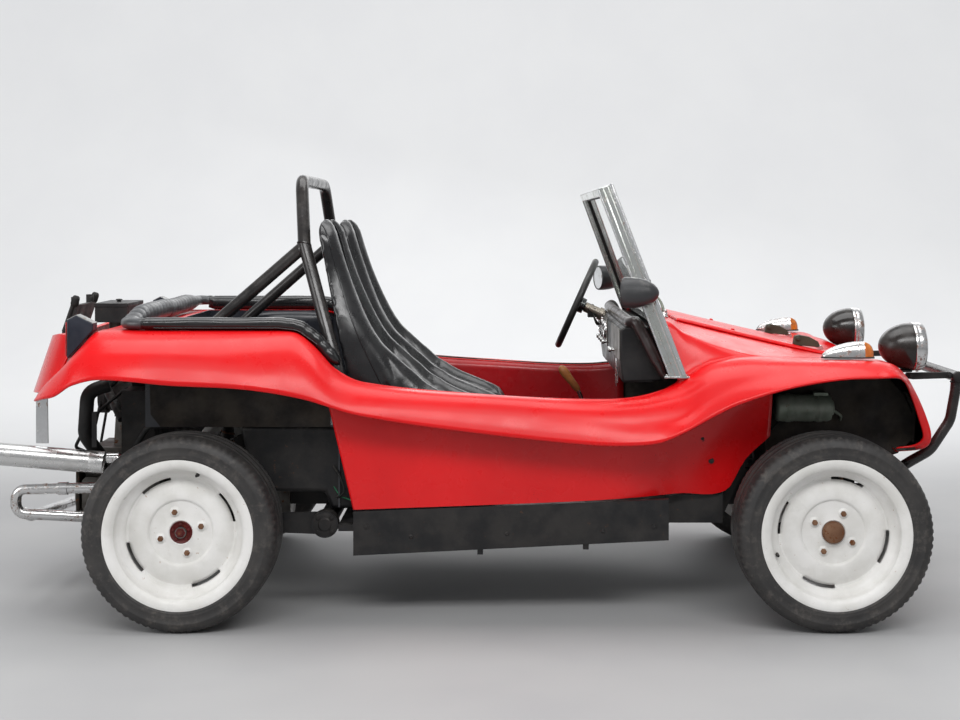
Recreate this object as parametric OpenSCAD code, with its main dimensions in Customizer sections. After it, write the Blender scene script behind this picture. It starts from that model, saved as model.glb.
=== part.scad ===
// Short-wheelbase beach buggy with a rear air-cooled engine.
// X runs forward, Y to the left and Z up; the origin is on the floor under the middle of the car.

/* [Overall] */
// Distance between the front and rear axle lines
wheelbase = 2000; // [1700:10:2400]
// Distance between the middles of the left and right tyres
track = 1304; // [1270:2:1400]
// Width over the wing edges
body_w = 1520; // [1480:5:1850]
// From the rear axle line back to the tip of the tail pipe
rear_overhang = 667; // [600:1:760]
// From the front axle line forward to the front of the bumper
front_overhang = 483; // [440:1:560]

/* [Wheels] */
// Outer diameter of the tyres
tyre_d = 600; // [580:2:700]
// Width of the tyres
tyre_w = 200; // [185:1:205]
// Diameter over the rim flanges
rim_d = 460; // [440:1:480]
// Hole in the middle of the wheel disc
hub_hole_d = 72; // [68:1:78]
// Pitch circle of the four wheel bolts
bolt_pcd = 130; // [120:1:140]
// Diameter of the front and rear stub axles
stub_d = 34; // [28:1:40]
// Running clearance of a bearing, on the diameter
bearing_gap = 0.16; // [0.1:0.02:0.2]

/* [Body] */
// Thickness of the glass-fibre moulding
shell_t = 6; // [4:0.5:8]
// Height of the flat top of the rear wings
deck_z = 911; // [905:1:920]

/* [Cockpit] */
// Width of a bucket seat
seat_w = 450; // [380:5:460]
// Distance of the seat middle from the middle of the car
seat_y = 300; // [296:1:305]
// Outer diameter of the roll bar tube
roll_d = 42; // [34:1:42]
// Diameter of the steering wheel
steer_d = 363; // [300:1:400]
// Outer diameter of the steering column tube
column_d = 38; // [30:1:44]

/* [Outside fittings] */
// Diameter of a headlamp
lamp_d = 152; // [126:1:182]
// Outer diameter of the tail silencer
silencer_d = 72; // [60:1:86]
// Distance between the two number plate holes
plate_hole_pitch = 180; // [140:5:200]
// Diameter of the number plate holes
plate_hole_d = 7; // [5:0.5:10]
// Outer diameter of the bumper tubes
bumper_d = 36; // [30:1:43]

/* [Hidden] */
$fn = 64;
right = -1;
left = 1;
seat_gap = 0.3;
// Seats for the fittings that are bolted to the moulding.
indicator_seat_z = 828;
lamp_seat_z = 768;
lamp_y = 420;
screen_seat_z = 762;
axle_z = 300;
ride_lift = tyre_d / 2 - axle_z;
rear_axle_x = (rear_overhang - wheelbase - front_overhang) / 2;
hub_y = track / 2;
stretch = wheelbase / 2000;
spread = body_w / 1520;

// Places that fittings share.
screen_x = 1540 * stretch;
cowl_x = 1469 * stretch;
seat_x = 480 * stretch;
lamp_stalk_x = wheelbase + 290;
steer_x = cowl_x - 203;
steer_y = 330;
steer_z = 948;
steer_tilt = 65.8;
steer_yaw = -4.3;

// The whole car is drawn from the rear axle line and the floor, then set on its tyres.
module car() translate([rear_axle_x, 0, ride_lift]) children();
// Lengths between the axles follow the wheelbase; the overhangs keep their size.
function sx(x) = x < 0 ? x : x > 2000 ? x + wheelbase - 2000 : x * stretch;
// Body widths follow the overall width of the body.
function sy(y) = y * spread;

// A round bar between two points.
module rod(a, b, d) {
    v = b - a;
    translate(a)
        rotate([0, acos(v[2] / norm(v)), atan2(v[1], v[0])])
            cylinder(h = norm(v), d = d);
}
// A bent bar through a list of points, with round joints at the bends.
module bent_rod(path, d) {
    for (i = [0 : len(path) - 2]) rod(path[i], path[i + 1], d);
    if (len(path) > 2)
        for (i = [1 : len(path) - 2]) translate(path[i]) sphere(d = d + 1);
}
// A plate drawn in the X-Z plane and set upright between two Y planes.
module side_plate(points, y0, y1) {
    translate([0, y1, 0]) rotate([90, 0, 0]) linear_extrude(y1 - y0) polygon(points);
}
// The same thing on both sides of the car.
module both() {
    children();
    mirror([0, 1, 0]) children();
}
// A disc profile turned about the wheel axis; its second coordinate runs outboard.
module turned(side) {
    rotate([side == right ? 90 : -90, 0, 0]) rotate_extrude($fn = 96) children();
}

// Smooth curve through the rows [station, a, b, c] of a guide.
function row_of(g, s, i = 0) = i >= len(g) - 2 || s < g[i + 1][0] ? i : row_of(g, s, i + 1);
function slope(g, i, c) =
    let (a = max(i - 1, 0), b = min(i + 1, len(g) - 1)) (g[b][c] - g[a][c]) / (g[b][0] - g[a][0]);
function smooth(g, s, c) =
    let (i = row_of(g, s), w = g[i + 1][0] - g[i][0], t = min(max((s - g[i][0]) / w, 0), 1))
    g[i][c] * (1 + 2 * t) * pow(1 - t, 2) + g[i + 1][c] * t * t * (3 - 2 * t)
    + w * (slope(g, i, c) * t * pow(1 - t, 2) - slope(g, i + 1, c) * t * t * (1 - t));
function guide(g, s) = [smooth(g, s, 1), smooth(g, s, 2), smooth(g, s, 3)];

// Guide lines of one half of the moulding: [station, x, half width, height].
lip_line = [
    [-478, -478, 605, 693], [-440, -440, 660, 705], [-386, -386, 712, 720], [-327, -327, 740, 755],
    [-236, -236, 755, 775], [-21, -21, 760, 758], [200, 200, 756, 746], [378, 378, 742, 715],
    [548, 548, 726, 663], [905, 905, 720, 609], [1262, 1262, 720, 572], [1392, 1392, 722, 571],
    [1469, 1469, 726, 581], [1546, 1546, 731, 616], [1623, 1623, 737, 659], [1701, 1701, 742, 698],
    [1855, 1855, 746, 748], [2010, 2010, 745, 775], [2134, 2134, 738, 780], [2194, 2194, 725, 779],
    [2240, 2235, 660, 752], [2300, 2268, 590, 706], [2370, 2305, 535, 630], [2440, 2328, 505, 566],
    [2500, 2308, 490, 538], [2590, 2250, 478, 528],
];
crease_line = [
    [-478, -475, 592, 703], [-440, -438, 632, 734], [-386, -384, 672, 776], [-327, -325, 702, 822],
    [-236, -236, 716, 846], [-21, -21, 720, 842], [200, 200, 716, 825], [378, 378, 708, 792],
    [480, 480, 704, 730], [548, 548, 700, 712], [905, 905, 690, 677], [1356, 1356, 690, 631],
    [1469, 1469, 692, 638], [1546, 1546, 696, 655], [1623, 1623, 698, 712], [1701, 1701, 700, 750],
    [1855, 1855, 702, 784], [2010, 2010, 700, 806], [2134, 2134, 692, 806], [2194, 2196, 676, 800],
    [2240, 2240, 634, 766], [2300, 2282, 575, 714], [2370, 2326, 522, 634], [2440, 2350, 495, 564],
    [2500, 2328, 482, 532], [2590, 2250, 472, 520],
];
rim_line = [
    [-478, -468, 565, 714], [-440, -436, 585, 750], [-386, -384, 600, 800], [-327, -327, 606, 866],
    [-291, -291, 606, 906], [-270, -270, 606, 911], [-236, -236, 606, 911], [-200, -200, 606, 911],
    [250, 250, 608, 911], [290, 290, 608, 911], [345, 345, 610, 905],
    [397, 397, 612, 867], [478, 478, 616, 785], [548, 548, 618, 757], [722, 722, 620, 733],
    [966, 966, 620, 717], [1225, 1225, 618, 703], [1416, 1416, 614, 712], [1540, 1540, 606, 748],
    [1600, 1600, 602, 790], [1650, 1650, 600, 813], [1750, 1750, 598, 829], [1987, 1987, 598, 824],
    [2134, 2134, 594, 820], [2194, 2196, 584, 808], [2240, 2240, 570, 776], [2300, 2286, 540, 720],
    [2370, 2334, 503, 638], [2440, 2360, 480, 562], [2500, 2338, 472, 526], [2590, 2250, 462, 514],
];
foot_line = [
    [-478, -455, 500, 716], [-440, -430, 512, 752], [-386, -384, 520, 802], [-327, -327, 520, 868],
    [-291, -291, 520, 906], [-270, -270, 520, 911], [-236, -236, 520, 911], [-200, -200, 520, 911],
    [250, 250, 522, 911], [290, 290, 524, 911], [345, 345, 540, 898],
    [397, 397, 560, 856], [478, 478, 590, 774], [548, 548, 598, 746], [722, 722, 602, 722],
    [966, 966, 602, 706], [1225, 1225, 600, 692], [1416, 1416, 594, 700], [1540, 1540, 566, 750],
    [1600, 1600, 552, 786], [1650, 1650, 548, 808], [1750, 1750, 546, 825], [1987, 1987, 545, 822],
    [2134, 2136, 540, 818], [2194, 2200, 530, 806], [2240, 2248, 515, 776], [2300, 2298, 490, 720],
    [2370, 2344, 462, 640], [2440, 2368, 448, 563], [2500, 2346, 442, 526], [2590, 2252, 436, 514],
];
ridge_line = [
    [1540, 1469, 506, 941], [1575, 1500, 506, 938], [1600, 1525, 506, 929], [1635, 1562, 508, 899],
    [1690, 1628, 512, 871], [1750, 1692, 518, 851], [1810, 1757, 524, 835], [1860, 1808, 528, 826],
    [1987, 1987, 515, 822], [2134, 2140, 480, 815], [2194, 2214, 462, 804], [2240, 2262, 450, 776],
    [2300, 2312, 430, 722], [2370, 2355, 405, 644], [2440, 2377, 395, 565], [2500, 2356, 390, 528],
    [2590, 2256, 384, 515],
];
lid_line = [
    [1540, 1469, 300, 940], [1590, 1530, 300, 930], [1620, 1565, 301, 922], [1650, 1600, 302, 914],
    [1840, 1830, 306, 859], [2070, 2070, 310, 806],
    [2134, 2144, 312, 795], [2194, 2226, 314, 788], [2240, 2276, 314, 764], [2300, 2326, 310, 724],
    [2370, 2366, 304, 650], [2440, 2385, 300, 570], [2500, 2366, 298, 531], [2590, 2262, 296, 516],
];
// Where the bonnet opening lies along the stations.
cowl_s = 1540;
hatch_start = 1650;
hatch_end = 2100;
hatch_y = 268;
stations = [
    for (s = [-478, -440, -400, -360, -327, -291, -236]) s,
    for (s = [-150 : 88 : 290]) s,
    for (s = [345, 397, 440, 478, 512, 548, 620]) s,
    for (s = [722 : 101 : 1227]) s,
    for (s = [1320, 1416, 1469, 1505, cowl_s, 1565, 1590, 1620, hatch_start, 1690, 1735, 1790, 1855]) s,
    for (s = [1930, 2010, 2070, hatch_end, 2134, 2170, 2194, 2217, 2240, 2270, 2300, 2335]) s,
    for (s = [2370, 2405, 2440, 2470, 2500, 2545, 2590]) s,
];
columns = 15;
// One row across half the moulding, from the wing edge to the middle of the car.
function swell(a, b, t, out) =
    a + (b - a) * t + out * 4 * t * (1 - t);
function half_row(s) =
    let (
        lip = guide(lip_line, s), crease = guide(crease_line, s), rim = guide(rim_line, s),
        foot = guide(foot_line, s),
        ridge = s < cowl_s ? foot - [0, 60, 0] : guide(ridge_line, s),
        lid = s < cowl_s ? foot - [0, 120, 0] : guide(lid_line, s)
    )
    [
        lip, swell(lip, crease, 0.5, [0, 7, 3]), crease,
        swell(crease, rim, 0.34, [0, 10, 8]), swell(crease, rim, 0.67, [0, 10, 8]),
        rim + [0, 5, -6], rim + [0, -6, 0], foot,
        (foot + ridge) / 2, ridge, (ridge + lid) / 2, lid,
        [lid[0], hatch_y, lid[2]], [lid[0], hatch_y / 2, lid[2]], [lid[0], 0, lid[2]]
    ];
function is_skin(i, j) =
    let (s = stations[i])
    j < 7 || (s >= cowl_s && (j < 12 || s < hatch_start || s >= hatch_end));
// Full rows from the right wing edge to the left one.
function full_row(s) =
    let (h = half_row(s))
    concat(
        [for (p = h) [sx(p[0]), sy(-p[1]), p[2]]],
        [for (j = [columns - 2 : -1 : 0]) [sx(h[j][0]), sy(h[j][1]), h[j][2]]]
    );
function unit(v) = v / max(norm(v), 0.000001);
function clamp_to(i, n) = min(max(i, 0), n - 1);
function grid_normal(grid, i, j) =
    let (
        rows = len(grid), cols = len(grid[0]),
        along = grid[clamp_to(i + 1, rows)][j] - grid[clamp_to(i - 1, rows)][j],
        across = grid[i][clamp_to(j + 1, cols)] - grid[i][clamp_to(j - 1, cols)]
    )
    unit(cross(along, across));
// A sheet of even thickness over a grid of points; kept(i, j) says which cells are there.
module sheet(grid, kept, thickness) {
    rows = len(grid);
    cols = len(grid[0]);
    n = rows * cols;
    face = [for (i = [0 : rows - 1]) for (j = [0 : cols - 1]) grid[i][j]];
    back = [
        for (i = [0 : rows - 1]) for (j = [0 : cols - 1])
            grid[i][j] - thickness * grid_normal(grid, i, j)
    ];
    function here(i, j) = i >= 0 && j >= 0 && i < rows - 1 && j < cols - 1 && kept[i][j];
    faces = [
        for (i = [0 : rows - 2]) for (j = [0 : cols - 2]) if (here(i, j))
            let (
                a = i * cols + j, b = a + 1, c = a + cols + 1, d = a + cols
            )
            each concat(
                [[a, b, c], [a, c, d], [a + n, c + n, b + n], [a + n, d + n, c + n]],
                here(i - 1, j) ? [] : [[a, a + n, b + n], [a, b + n, b]],
                here(i + 1, j) ? [] : [[c, c + n, d + n], [c, d + n, d]],
                here(i, j - 1) ? [] : [[d, d + n, a + n], [d, a + n, a]],
                here(i, j + 1) ? [] : [[b, b + n, c + n], [b, c + n, c]]
            )
    ];
    polyhedron(points = concat(face, back), faces = faces, convexity = 10);
}

// --- Body moulding ---
// The lower side of the tub is a single skin that tucks in ahead of the doorway.
tub_top_stations = [400, 460, 548, 905, 1262, 1416, 1546, 1700, 1760, 1840];
tub_top = [
    for (x = tub_top_stations)
        let (p = guide(rim_line, x)) [x, x, p[1] - (x > 1500 ? 22 : 9), p[2] - 3]
];
tub_foot = [
    [400, 519, 600, 352], [548, 600, 600, 355], [905, 905, 600, 366], [1262, 1262, 596, 380],
    [1416, 1416, 570, 386], [1546, 1546, 528, 391], [1700, 1700, 500, 396], [1760, 1760, 500, 492],
    [1840, 1840, 500, 568],
];
tub_stations = [400, 430, 480, 548, 660, 780, 905, 1020, 1140, 1262, 1340, 1416, 1480, 1546, 1630, 1700, 1760, 1840];
tub_rows = 6;
function tub_grid(side) = [
    for (s = tub_stations)
        let (a = guide(tub_top, s), b = guide(tub_foot, s))
        [for (k = [0 : tub_rows])
            let (p = a + (b - a) * k / tub_rows) [sx(p[0]), side * sy(p[1]), p[2]]]
];
// The panel across the tail: [half width, top x, top z, foot x, foot z].
tail_curve = [
    [0, -526, 862, -590, 690], [140, -524, 864, -588, 690], [300, -508, 872, -570, 692],
    [410, -474, 884, -536, 698], [480, -438, 892, -500, 706], [525, -400, 893, -462, 716],
    [548, -356, 893, -424, 752],
];
tail_full = concat(
    [for (i = [len(tail_curve) - 1 : -1 : 1]) [-tail_curve[i][0], tail_curve[i][1], tail_curve[i][2],
        tail_curve[i][3], tail_curve[i][4]]],
    tail_curve
);
function tail_grid() = [
    for (r = tail_full)
        [for (k = [0 : 4])
            let (t = k / 4)
            [r[1] + (r[3] - r[1]) * t, sy(r[0]), r[2] + (r[4] - r[2]) * t]]
];
function all_kept(grid) = [for (r = grid) [for (p = r) true]];
module body_shell() {
    grid = [for (s = stations) full_row(s)];
    last = 2 * columns - 3;
    kept = [
        for (i = [0 : len(stations) - 2])
            [for (j = [0 : last]) is_skin(i, j < columns - 1 ? j : last - j)]
    ];
    color("crimson") car() resize([0, body_w, 0]) union() {
        sheet(grid, kept, shell_t);
        sheet(tub_grid(right), all_kept(tub_grid(right)), shell_t);
        mirror([0, 1, 0]) sheet(tub_grid(right), all_kept(tub_grid(right)), shell_t);
        sheet(tail_grid(), all_kept(tail_grid()), shell_t);
        // The deck ahead of the engine ties the two wings together.
        translate([-286, sy(-530), deck_z - shell_t]) cube([136, sy(1060), shell_t]);
        // Flat seats for the indicators on the front wings.
        both() {
            translate([sx(2064), sy(600), 790]) cylinder(h = indicator_seat_z - 790, d = 40);
            translate([lamp_stalk_x, sy(lamp_y), 690]) cylinder(h = lamp_seat_z - 690, d = 44);
            // Ramp under the tail lamp and level foot under the windscreen leg.
            side_plate([[-370, 800], [-370, 826], [-292, 912], [-292, 880]], sy(556), sy(600));
            translate([screen_x - 46, sy(570), 715]) cube([80, sy(40), screen_seat_z - 715]);
        }
    }
}

// --- Floor pan, side boxes ---
floor_z = 300;
pan_half_w = 575;
toe_half_w = 440;
tank_z = 570;
floor_t = 20;
tunnel_w = 150;
tunnel_h = 120;
rail_top = 419.7;
pan_front = 1690;
head_front = 2090;
module floor_pan() {
    color("dimgray") car() {
        difference() {
            union() {
                // Floor, tunnel, front bulkhead and the frame head that carries the beam.
                translate([sx(470), -pan_half_w, floor_z - floor_t])
                    cube([sx(1506) - sx(470), 2 * pan_half_w, floor_t]);
                translate([sx(1505), -toe_half_w, floor_z - floor_t])
                    cube([sx(pan_front) - sx(1505), 2 * toe_half_w, floor_t]);
                translate([sx(470), -tunnel_w / 2, floor_z - floor_t])
                    cube([sx(pan_front) - sx(470), tunnel_w, tunnel_h + floor_t]);
                side_plate([[sx(1690), 280], [sx(1690), 420], [sx(1850), 400], [sx(head_front), 400],
                    [sx(head_front), 280]], -120, 120);
                side_plate([[sx(1660), 280], [sx(1660), 300], [sx(1800), 560], [sx(1820), 560], [sx(1690), 280]],
                    -430, 430);
                // Posts that carry the fuel tank.
                for (x = [1870, 2050]) translate([sx(x), -25, 399]) cube([20, 50, tank_z - seat_gap - 399]);
                // Seat rails on both sides.
                both() for (y = [seat_y - 130, seat_y + 110])
                    translate([seat_x + 120, y, floor_z - 1]) cube([330, 20, rail_top - floor_z + 1]);
            }
        }
    }
}
module side_boxes() {
    color("black") car() both() {
        side_plate([[sx(519), 208], [sx(519), 346], [sx(1506), 384], [sx(1506), 256]], pan_half_w + seat_gap, 598);
        side_plate([[sx(1506.3), 290], [sx(1506.3), 376], [sx(1690), 384], [sx(1690), 290]],
            toe_half_w + seat_gap, 492);
    }
}

// --- Front axle ---
beam_x = 2120;
beam_low = 230;
beam_high = 372;
kingpin_y = hub_y - 72;
kingpin_d = 20;
knuckle_low = axle_z - 60;
knuckle_high = axle_z + 60;
face_gap = 0.5;
module front_beam() {
    color("black") car() {
        for (z = [beam_low, beam_high]) {
            rod([sx(beam_x), -440, z], [sx(beam_x), 440, z], 50);
        }
        // Uprights join the two tubes; the outer pair carries the shock absorbers.
        for (y = [-400, -110, 110, 400])
            translate([sx(beam_x) - 12, y - 6, beam_low]) cube([24, 12, beam_high - beam_low]);
        translate([sx(head_front) + 0.3, -120, 285]) cube([sx(beam_x) - sx(head_front), 240, 110]);
        both() {
            // Shock absorber posts.
            translate([sx(beam_x) - 14, 372, beam_high]) cube([28, 24, 160]);
            // Trailing arms and the kingpin between their eyes.
            for (e = [[beam_low, knuckle_low - face_gap - 11], [beam_high, knuckle_high + face_gap + 11]]) {
                rod([sx(beam_x), 446, e[0]], [sx(2000), kingpin_y, e[1]], 22);
                rod([sx(beam_x), 440, e[0]], [sx(beam_x), 452, e[0]], 42);
                translate([sx(2000), kingpin_y, e[1] - 11]) cylinder(h = 22, d = 40);
            }
            translate([sx(2000), kingpin_y, knuckle_low - 12])
                cylinder(h = knuckle_high - knuckle_low + 24, d = kingpin_d);
        }
    }
}
module knuckle(side) {
    color("dimgray") car() translate([sx(2000), side * kingpin_y, 0]) {
        difference() {
            union() {
                translate([0, 0, knuckle_low]) cylinder(h = knuckle_high - knuckle_low, d = 40);
                rod([0, 0, axle_z], [0, side * (hub_y - kingpin_y + 46), axle_z], stub_d);
                // Steering arm.
                rod([0, 0, knuckle_low + 20], [-110, -side * 30, knuckle_low + 20], 18);
            }
            translate([0, 0, knuckle_low - 1])
                cylinder(h = knuckle_high - knuckle_low + 2, d = kingpin_d + bearing_gap);
        }
    }
}
module right_knuckle() knuckle(right);
module left_knuckle() knuckle(left);
module shock_absorbers() {
    color("black") car() both() {
        rod([sx(beam_x) - 50.4, 384, 305], [sx(beam_x) - 40.4, 384, 520], 44);
        rod([-38 - 23 - seat_gap, 452, 262], [-38 - 23 - seat_gap, 440, 560], 46);
    }
}

// --- Wheels ---
disc_y = 33;
bead_d = 2 * 203;
tyre_gap = 0.2;
flange_r = rim_d / 2;
bead_r = bead_d / 2;
half_w = tyre_w / 2;
drum_front_d = 236;
drum_rear_d = 250;
module wheel_place(x, side) car() translate([x, side * hub_y, axle_z]) children();
module rim(x, side) {
    color("white") wheel_place(x, side) difference() {
        turned(side) {
            polygon([
                [flange_r, 90], [flange_r, 84], [bead_r + 4, 80], [bead_r, 74], [bead_r, 60], [178, 42],
                [178, -38], [bead_r, -60], [bead_r, -78], [bead_r + 4, -84], [flange_r, -88],
                [flange_r, -94], [bead_r, -90], [bead_r - 6, -84], [bead_r - 6, -62], [172, -44],
                [172, 24], [150, disc_y - 6], [100, disc_y + 2], [96, disc_y - 2], [hub_hole_d / 2, disc_y - 2],
                [hub_hole_d / 2, disc_y + 3], [92, disc_y + 3], [98, disc_y + 8], [150, disc_y],
                [172, 46], [bead_r - 6, 66], [bead_r - 6, 80], [bead_r + 2, 88]
            ]);
        }
        // Four slots where the disc meets the barrel, and the bolt holes.
        for (k = [0 : 3]) rotate([0, 90 * k + 28, 0]) {
            translate([154, side * 40 - 25, -48]) cube([17, 50, 96]);
            rotate([0, 35, 0]) translate([bolt_pcd / 2, side * 70, 0]) rotate([side * 90, 0, 0])
                cylinder(h = 80, d = 15);
        }
    }
}
module tyre(x, side) {
    color("black") wheel_place(x, side) turned(side) polygon([
        [tyre_d / 2, 70], [tyre_d / 2, -70], [tyre_d / 2 - 6, -86], [tyre_d / 2 - 20, -96],
        [tyre_d / 2 - 45, -half_w], [flange_r + 8, -half_w + 2], [flange_r - 2, -83 + tyre_gap],
        [bead_r + 5, -79], [bead_r + tyre_gap, -74], [bead_r + tyre_gap, -60], [bead_r + 20, -66],
        [flange_r + 8, -88], [tyre_d / 2 - 40, -86], [tyre_d / 2 - 16, -70],
        [tyre_d / 2 - 16, 70], [tyre_d / 2 - 40, 86], [flange_r + 8, 88], [bead_r + 20, 66],
        [bead_r + tyre_gap, 60], [bead_r + tyre_gap, 74], [bead_r + 5, 75], [flange_r - 2, 79],
        [flange_r + 8, half_w - 2], [tyre_d / 2 - 45, half_w], [tyre_d / 2 - 20, 96],
        [tyre_d / 2 - 6, 86]
    ]);
}
module drum(x, side, d, nose) {
    drum_in = -46;
    color("dimgray") wheel_place(x, side) turned(side) polygon([
        [(stub_d + bearing_gap) / 2, -22], [(stub_d + bearing_gap) / 2, nose],
        [hub_hole_d / 2 - 3, nose], [hub_hole_d / 2 - 3, disc_y - 2.2], [90, disc_y - 2.2],
        [94, disc_y - 12], [d / 2, 16], [d / 2, drum_in], [d / 2 - 10, drum_in], [d / 2 - 10, 8],
        [34, 8], [34, -22]
    ]);
}
module front_right_rim() rim(sx(2000), right);
module front_left_rim() rim(sx(2000), left);
module rear_right_rim() rim(0, right);
module rear_left_rim() rim(0, left);
module front_right_tyre() tyre(sx(2000), right);
module front_left_tyre() tyre(sx(2000), left);
module rear_right_tyre() tyre(0, right);
module rear_left_tyre() tyre(0, left);
module front_right_drum() drum(sx(2000), right, drum_front_d, 52);
module front_left_drum() drum(sx(2000), left, drum_front_d, 52);
module rear_right_drum() drum(0, right, drum_rear_d, 44);
module rear_left_drum() drum(0, left, drum_rear_d, 44);

// --- Rear axle and engine ---
torsion_x = 426;
module rear_suspension() {
    color("black") car() {
        rod([torsion_x, -520, 298], [torsion_x, 520, 298], 60);
        both() {
            // End cover and the spring plate that reaches back to the axle.
            rod([torsion_x, 520, 298], [torsion_x, 562, 298], 84);
            side_plate([[torsion_x, 262], [torsion_x, 334], [78, 325], [78, 275]], 528, 536);
        }
        translate([torsion_x, -120, 280]) cube([470 - torsion_x - 0.3, 240, 40]);
        translate([250, -60, 270]) cube([torsion_x - 250, 20, 56]);
        translate([250, 40, 270]) cube([torsion_x - 250, 20, 56]);
    }
}
module gearbox() {
    color("gray") car() {
        rod([-60, 0, 300], [249.7, 0, 300], 170);
        rod([-129.7, 0, 310], [-60, 0, 310], 300);
        both() {
            rod([0, 40, 300], [0, 478, 300], 76);
            rod([0, 478, 300], [0, 560, 300], 150);
            rod([0, 560, 300], [0, hub_y + 48, 300], stub_d);
            // Axle clamp that the spring plate is bolted to.
            translate([30, 470, 270]) cube([78 - seat_gap - 30, 80, 60]);
        }
    }
}
module engine() {
    color("dimgray") car() {
        difference() {
            union() {
                translate([-460, -120, 205]) cube([330, 240, 270]);
                both() translate([-400, 119, 300]) cube([260, 231, 130]);
                rod([-500, 0, 300], [-460, 0, 300], 170);
                translate([-370, -60, 475]) cube([90, 120, 96]);
            }
        }
    }
}
fan_x = -260;
module fan_housing() {
    color("black") car() {
        difference() {
            translate([fan_x, -380, 476]) cube([108, 760, 360]);
            both() translate([fan_x - 1, 240, 700]) cube([110, 150, 150]);
        }
        rod([-400, 0, 640], [fan_x + 1, 0, 640], 105);
        rod([-425, 0, 640], [-400, 0, 640], 120);
        translate([-370, -40, 571.3]) cube([90, 80, 30]);
    }
}
module air_cleaner() {
    color("black") car() {
        translate([-420, -110, 905]) cube([112, 220, 62]);
        rod([-364, 0, 700], [-364, 0, 905], 60);
        translate([-364, -12, 830]) cube([fan_x - seat_gap + 364, 24, 20]);
    }
}
silencer_y = -450;
silencer_front = -290;
module exhaust_header() {
    color("silver") car() {
        bent_rod([
            [-300, -300, 299.7], [-300, -300, 262], [-350, -400, 290], [-560, silencer_y, 315],
            [-582, silencer_y, 350], [-545, silencer_y, 390], [-300, silencer_y, 395],
            [-236, silencer_y, 430], [-236, silencer_y, 490], [silencer_front + seat_gap, silencer_y, 490]
        ], 36);
        bent_rod([
            [-300, 300, 299.7], [-300, 300, 262], [-340, 300, 235], [-530, 270, 235],
            [-556, 200, 240], [-556, -380, 290], [-560, silencer_y, 315]
        ], 35);
    }
}
module tail_silencer() {
    color("silver") car() {
        rod([-rear_overhang, silencer_y, 490], [silencer_front, silencer_y, 490], silencer_d);
    }
}

// --- Bonnet lid ---
lid_t = 12;
lid_over = 296;
lid_stations = [for (s = stations) if (s >= 1620 && s <= 2134) s];
module bonnet_lid() {
    rows = [
        for (s = lid_stations)
            let (p = guide(lid_line, s))
            [for (y = [-lid_over, -hatch_y, 0, hatch_y, lid_over])
                [sx(p[0]), sy(y), p[2] + (seat_gap + lid_t) * 1.035]]
    ];
    color("crimson") car() sheet(rows, all_kept(rows), lid_t);
}

// --- Windscreen ---
screen_lean = 20.5;
screen_h = 651;
screen_depth = 44;
leg_w = 26;
sill_v = 199.4;
sill_h = 30;
head_h = 28;
module screen_place() car() translate([screen_x, 0, 755]) rotate([0, -screen_lean, 0]) children();
function half_width_at(v) = sy(600) - 80 * v / screen_h;
function trapezium(v0, v1, inset) = [
    [-half_width_at(v0) + inset, v0], [half_width_at(v0) - inset, v0],
    [half_width_at(v1) - inset, v1], [-half_width_at(v1) + inset, v1]
];
// A flat shape in the plane of the glass, with its width along Y.
module in_screen(x0, depth) {
    translate([x0, 0, 0]) rotate([90, 0, 90]) linear_extrude(depth) children();
}
module windscreen_frame() {
    color("silver") difference() {
        screen_place() in_screen(-screen_depth / 2, screen_depth) difference() {
            polygon(trapezium(-30, screen_h, 0));
            polygon(trapezium(-40, sill_v, leg_w));
            polygon(trapezium(sill_v + sill_h, screen_h - head_h, leg_w));
        }
        car() translate([screen_x - 200, -900, screen_seat_z + seat_gap - 200]) cube([400, 1800, 200]);
    }
}
module windscreen_glass() {
    color("lightblue") screen_place() in_screen(-3, 6)
        polygon(trapezium(sill_v + sill_h + seat_gap, screen_h - head_h - seat_gap, leg_w + seat_gap));
}
wiper_s = 1590;
module wipers() {
    foot = guide(lid_line, wiper_s);
    foot_x = sx(foot[0]);
    foot_z = foot[2];
    color("black") car() for (y = [-230, 90]) {
        translate([foot_x, y, foot_z + 2.2]) cylinder(h = 24, d = 22);
        rod([foot_x, y, foot_z + 20], [screen_x - 38, y + 40, 1012], 8);
        rod([screen_x - 38 + 1, y + 38, 1009], [screen_x - 68, y + 160, 1092], 6.5);
    }
}

// --- Dashboard and steering ---
dash_half = 484;
dash_top = 928;
pad_d = 40;
module steering_place() {
    car() translate([steer_x, steer_y, steer_z]) rotate([0, 0, steer_yaw]) rotate([0, -steer_tilt, 0]) children();
}
module dashboard() {
    // The front of the dashboard seats under the cowl.
    under = guide(lid_line, 1565);
    nose = [sx(under[0]), under[2] - shell_t * 1.02 - seat_gap];
    color("black") difference() {
        car() {
            side_plate([
                [cowl_x - 97, 738], [cowl_x - 107, 800], [cowl_x - 107, dash_top - 13], [cowl_x - 94, dash_top],
                [cowl_x - 6, dash_top], nose, [nose[0], 742]
            ], -dash_half, dash_half);
            rod([cowl_x - 74, -dash_half + 20, dash_top], [cowl_x - 74, dash_half - 20, dash_top], pad_d);
        }
        steering_place() translate([0, 0, -600]) cylinder(h = 590, d = column_d + 2 * seat_gap);
    }
}
module steering_column() {
    color("silver") steering_place() {
        translate([0, 0, -420]) cylinder(h = 420 - 30.5, d = column_d);
        translate([0, 0, -60]) cylinder(h = 62, d = 20);
        // Stalk of the direction switch.
        rod([0, 0, -70], [0, 130, -60], 9);
    }
}
module steering_wheel() {
    color("black") steering_place() {
        rotate_extrude($fn = 96) translate([steer_d / 2 - 14, 0]) circle(d = 28);
        difference() {
            translate([0, 0, -30]) cylinder(h = 40, d = 56);
            translate([0, 0, -31]) cylinder(h = 34, d = 20 + bearing_gap);
        }
        for (a = [0, 120, 240]) rotate([0, 0, a])
            translate([24, -14, -4]) cube([steer_d / 2 - 36, 28, 6]);
    }
}
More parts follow.
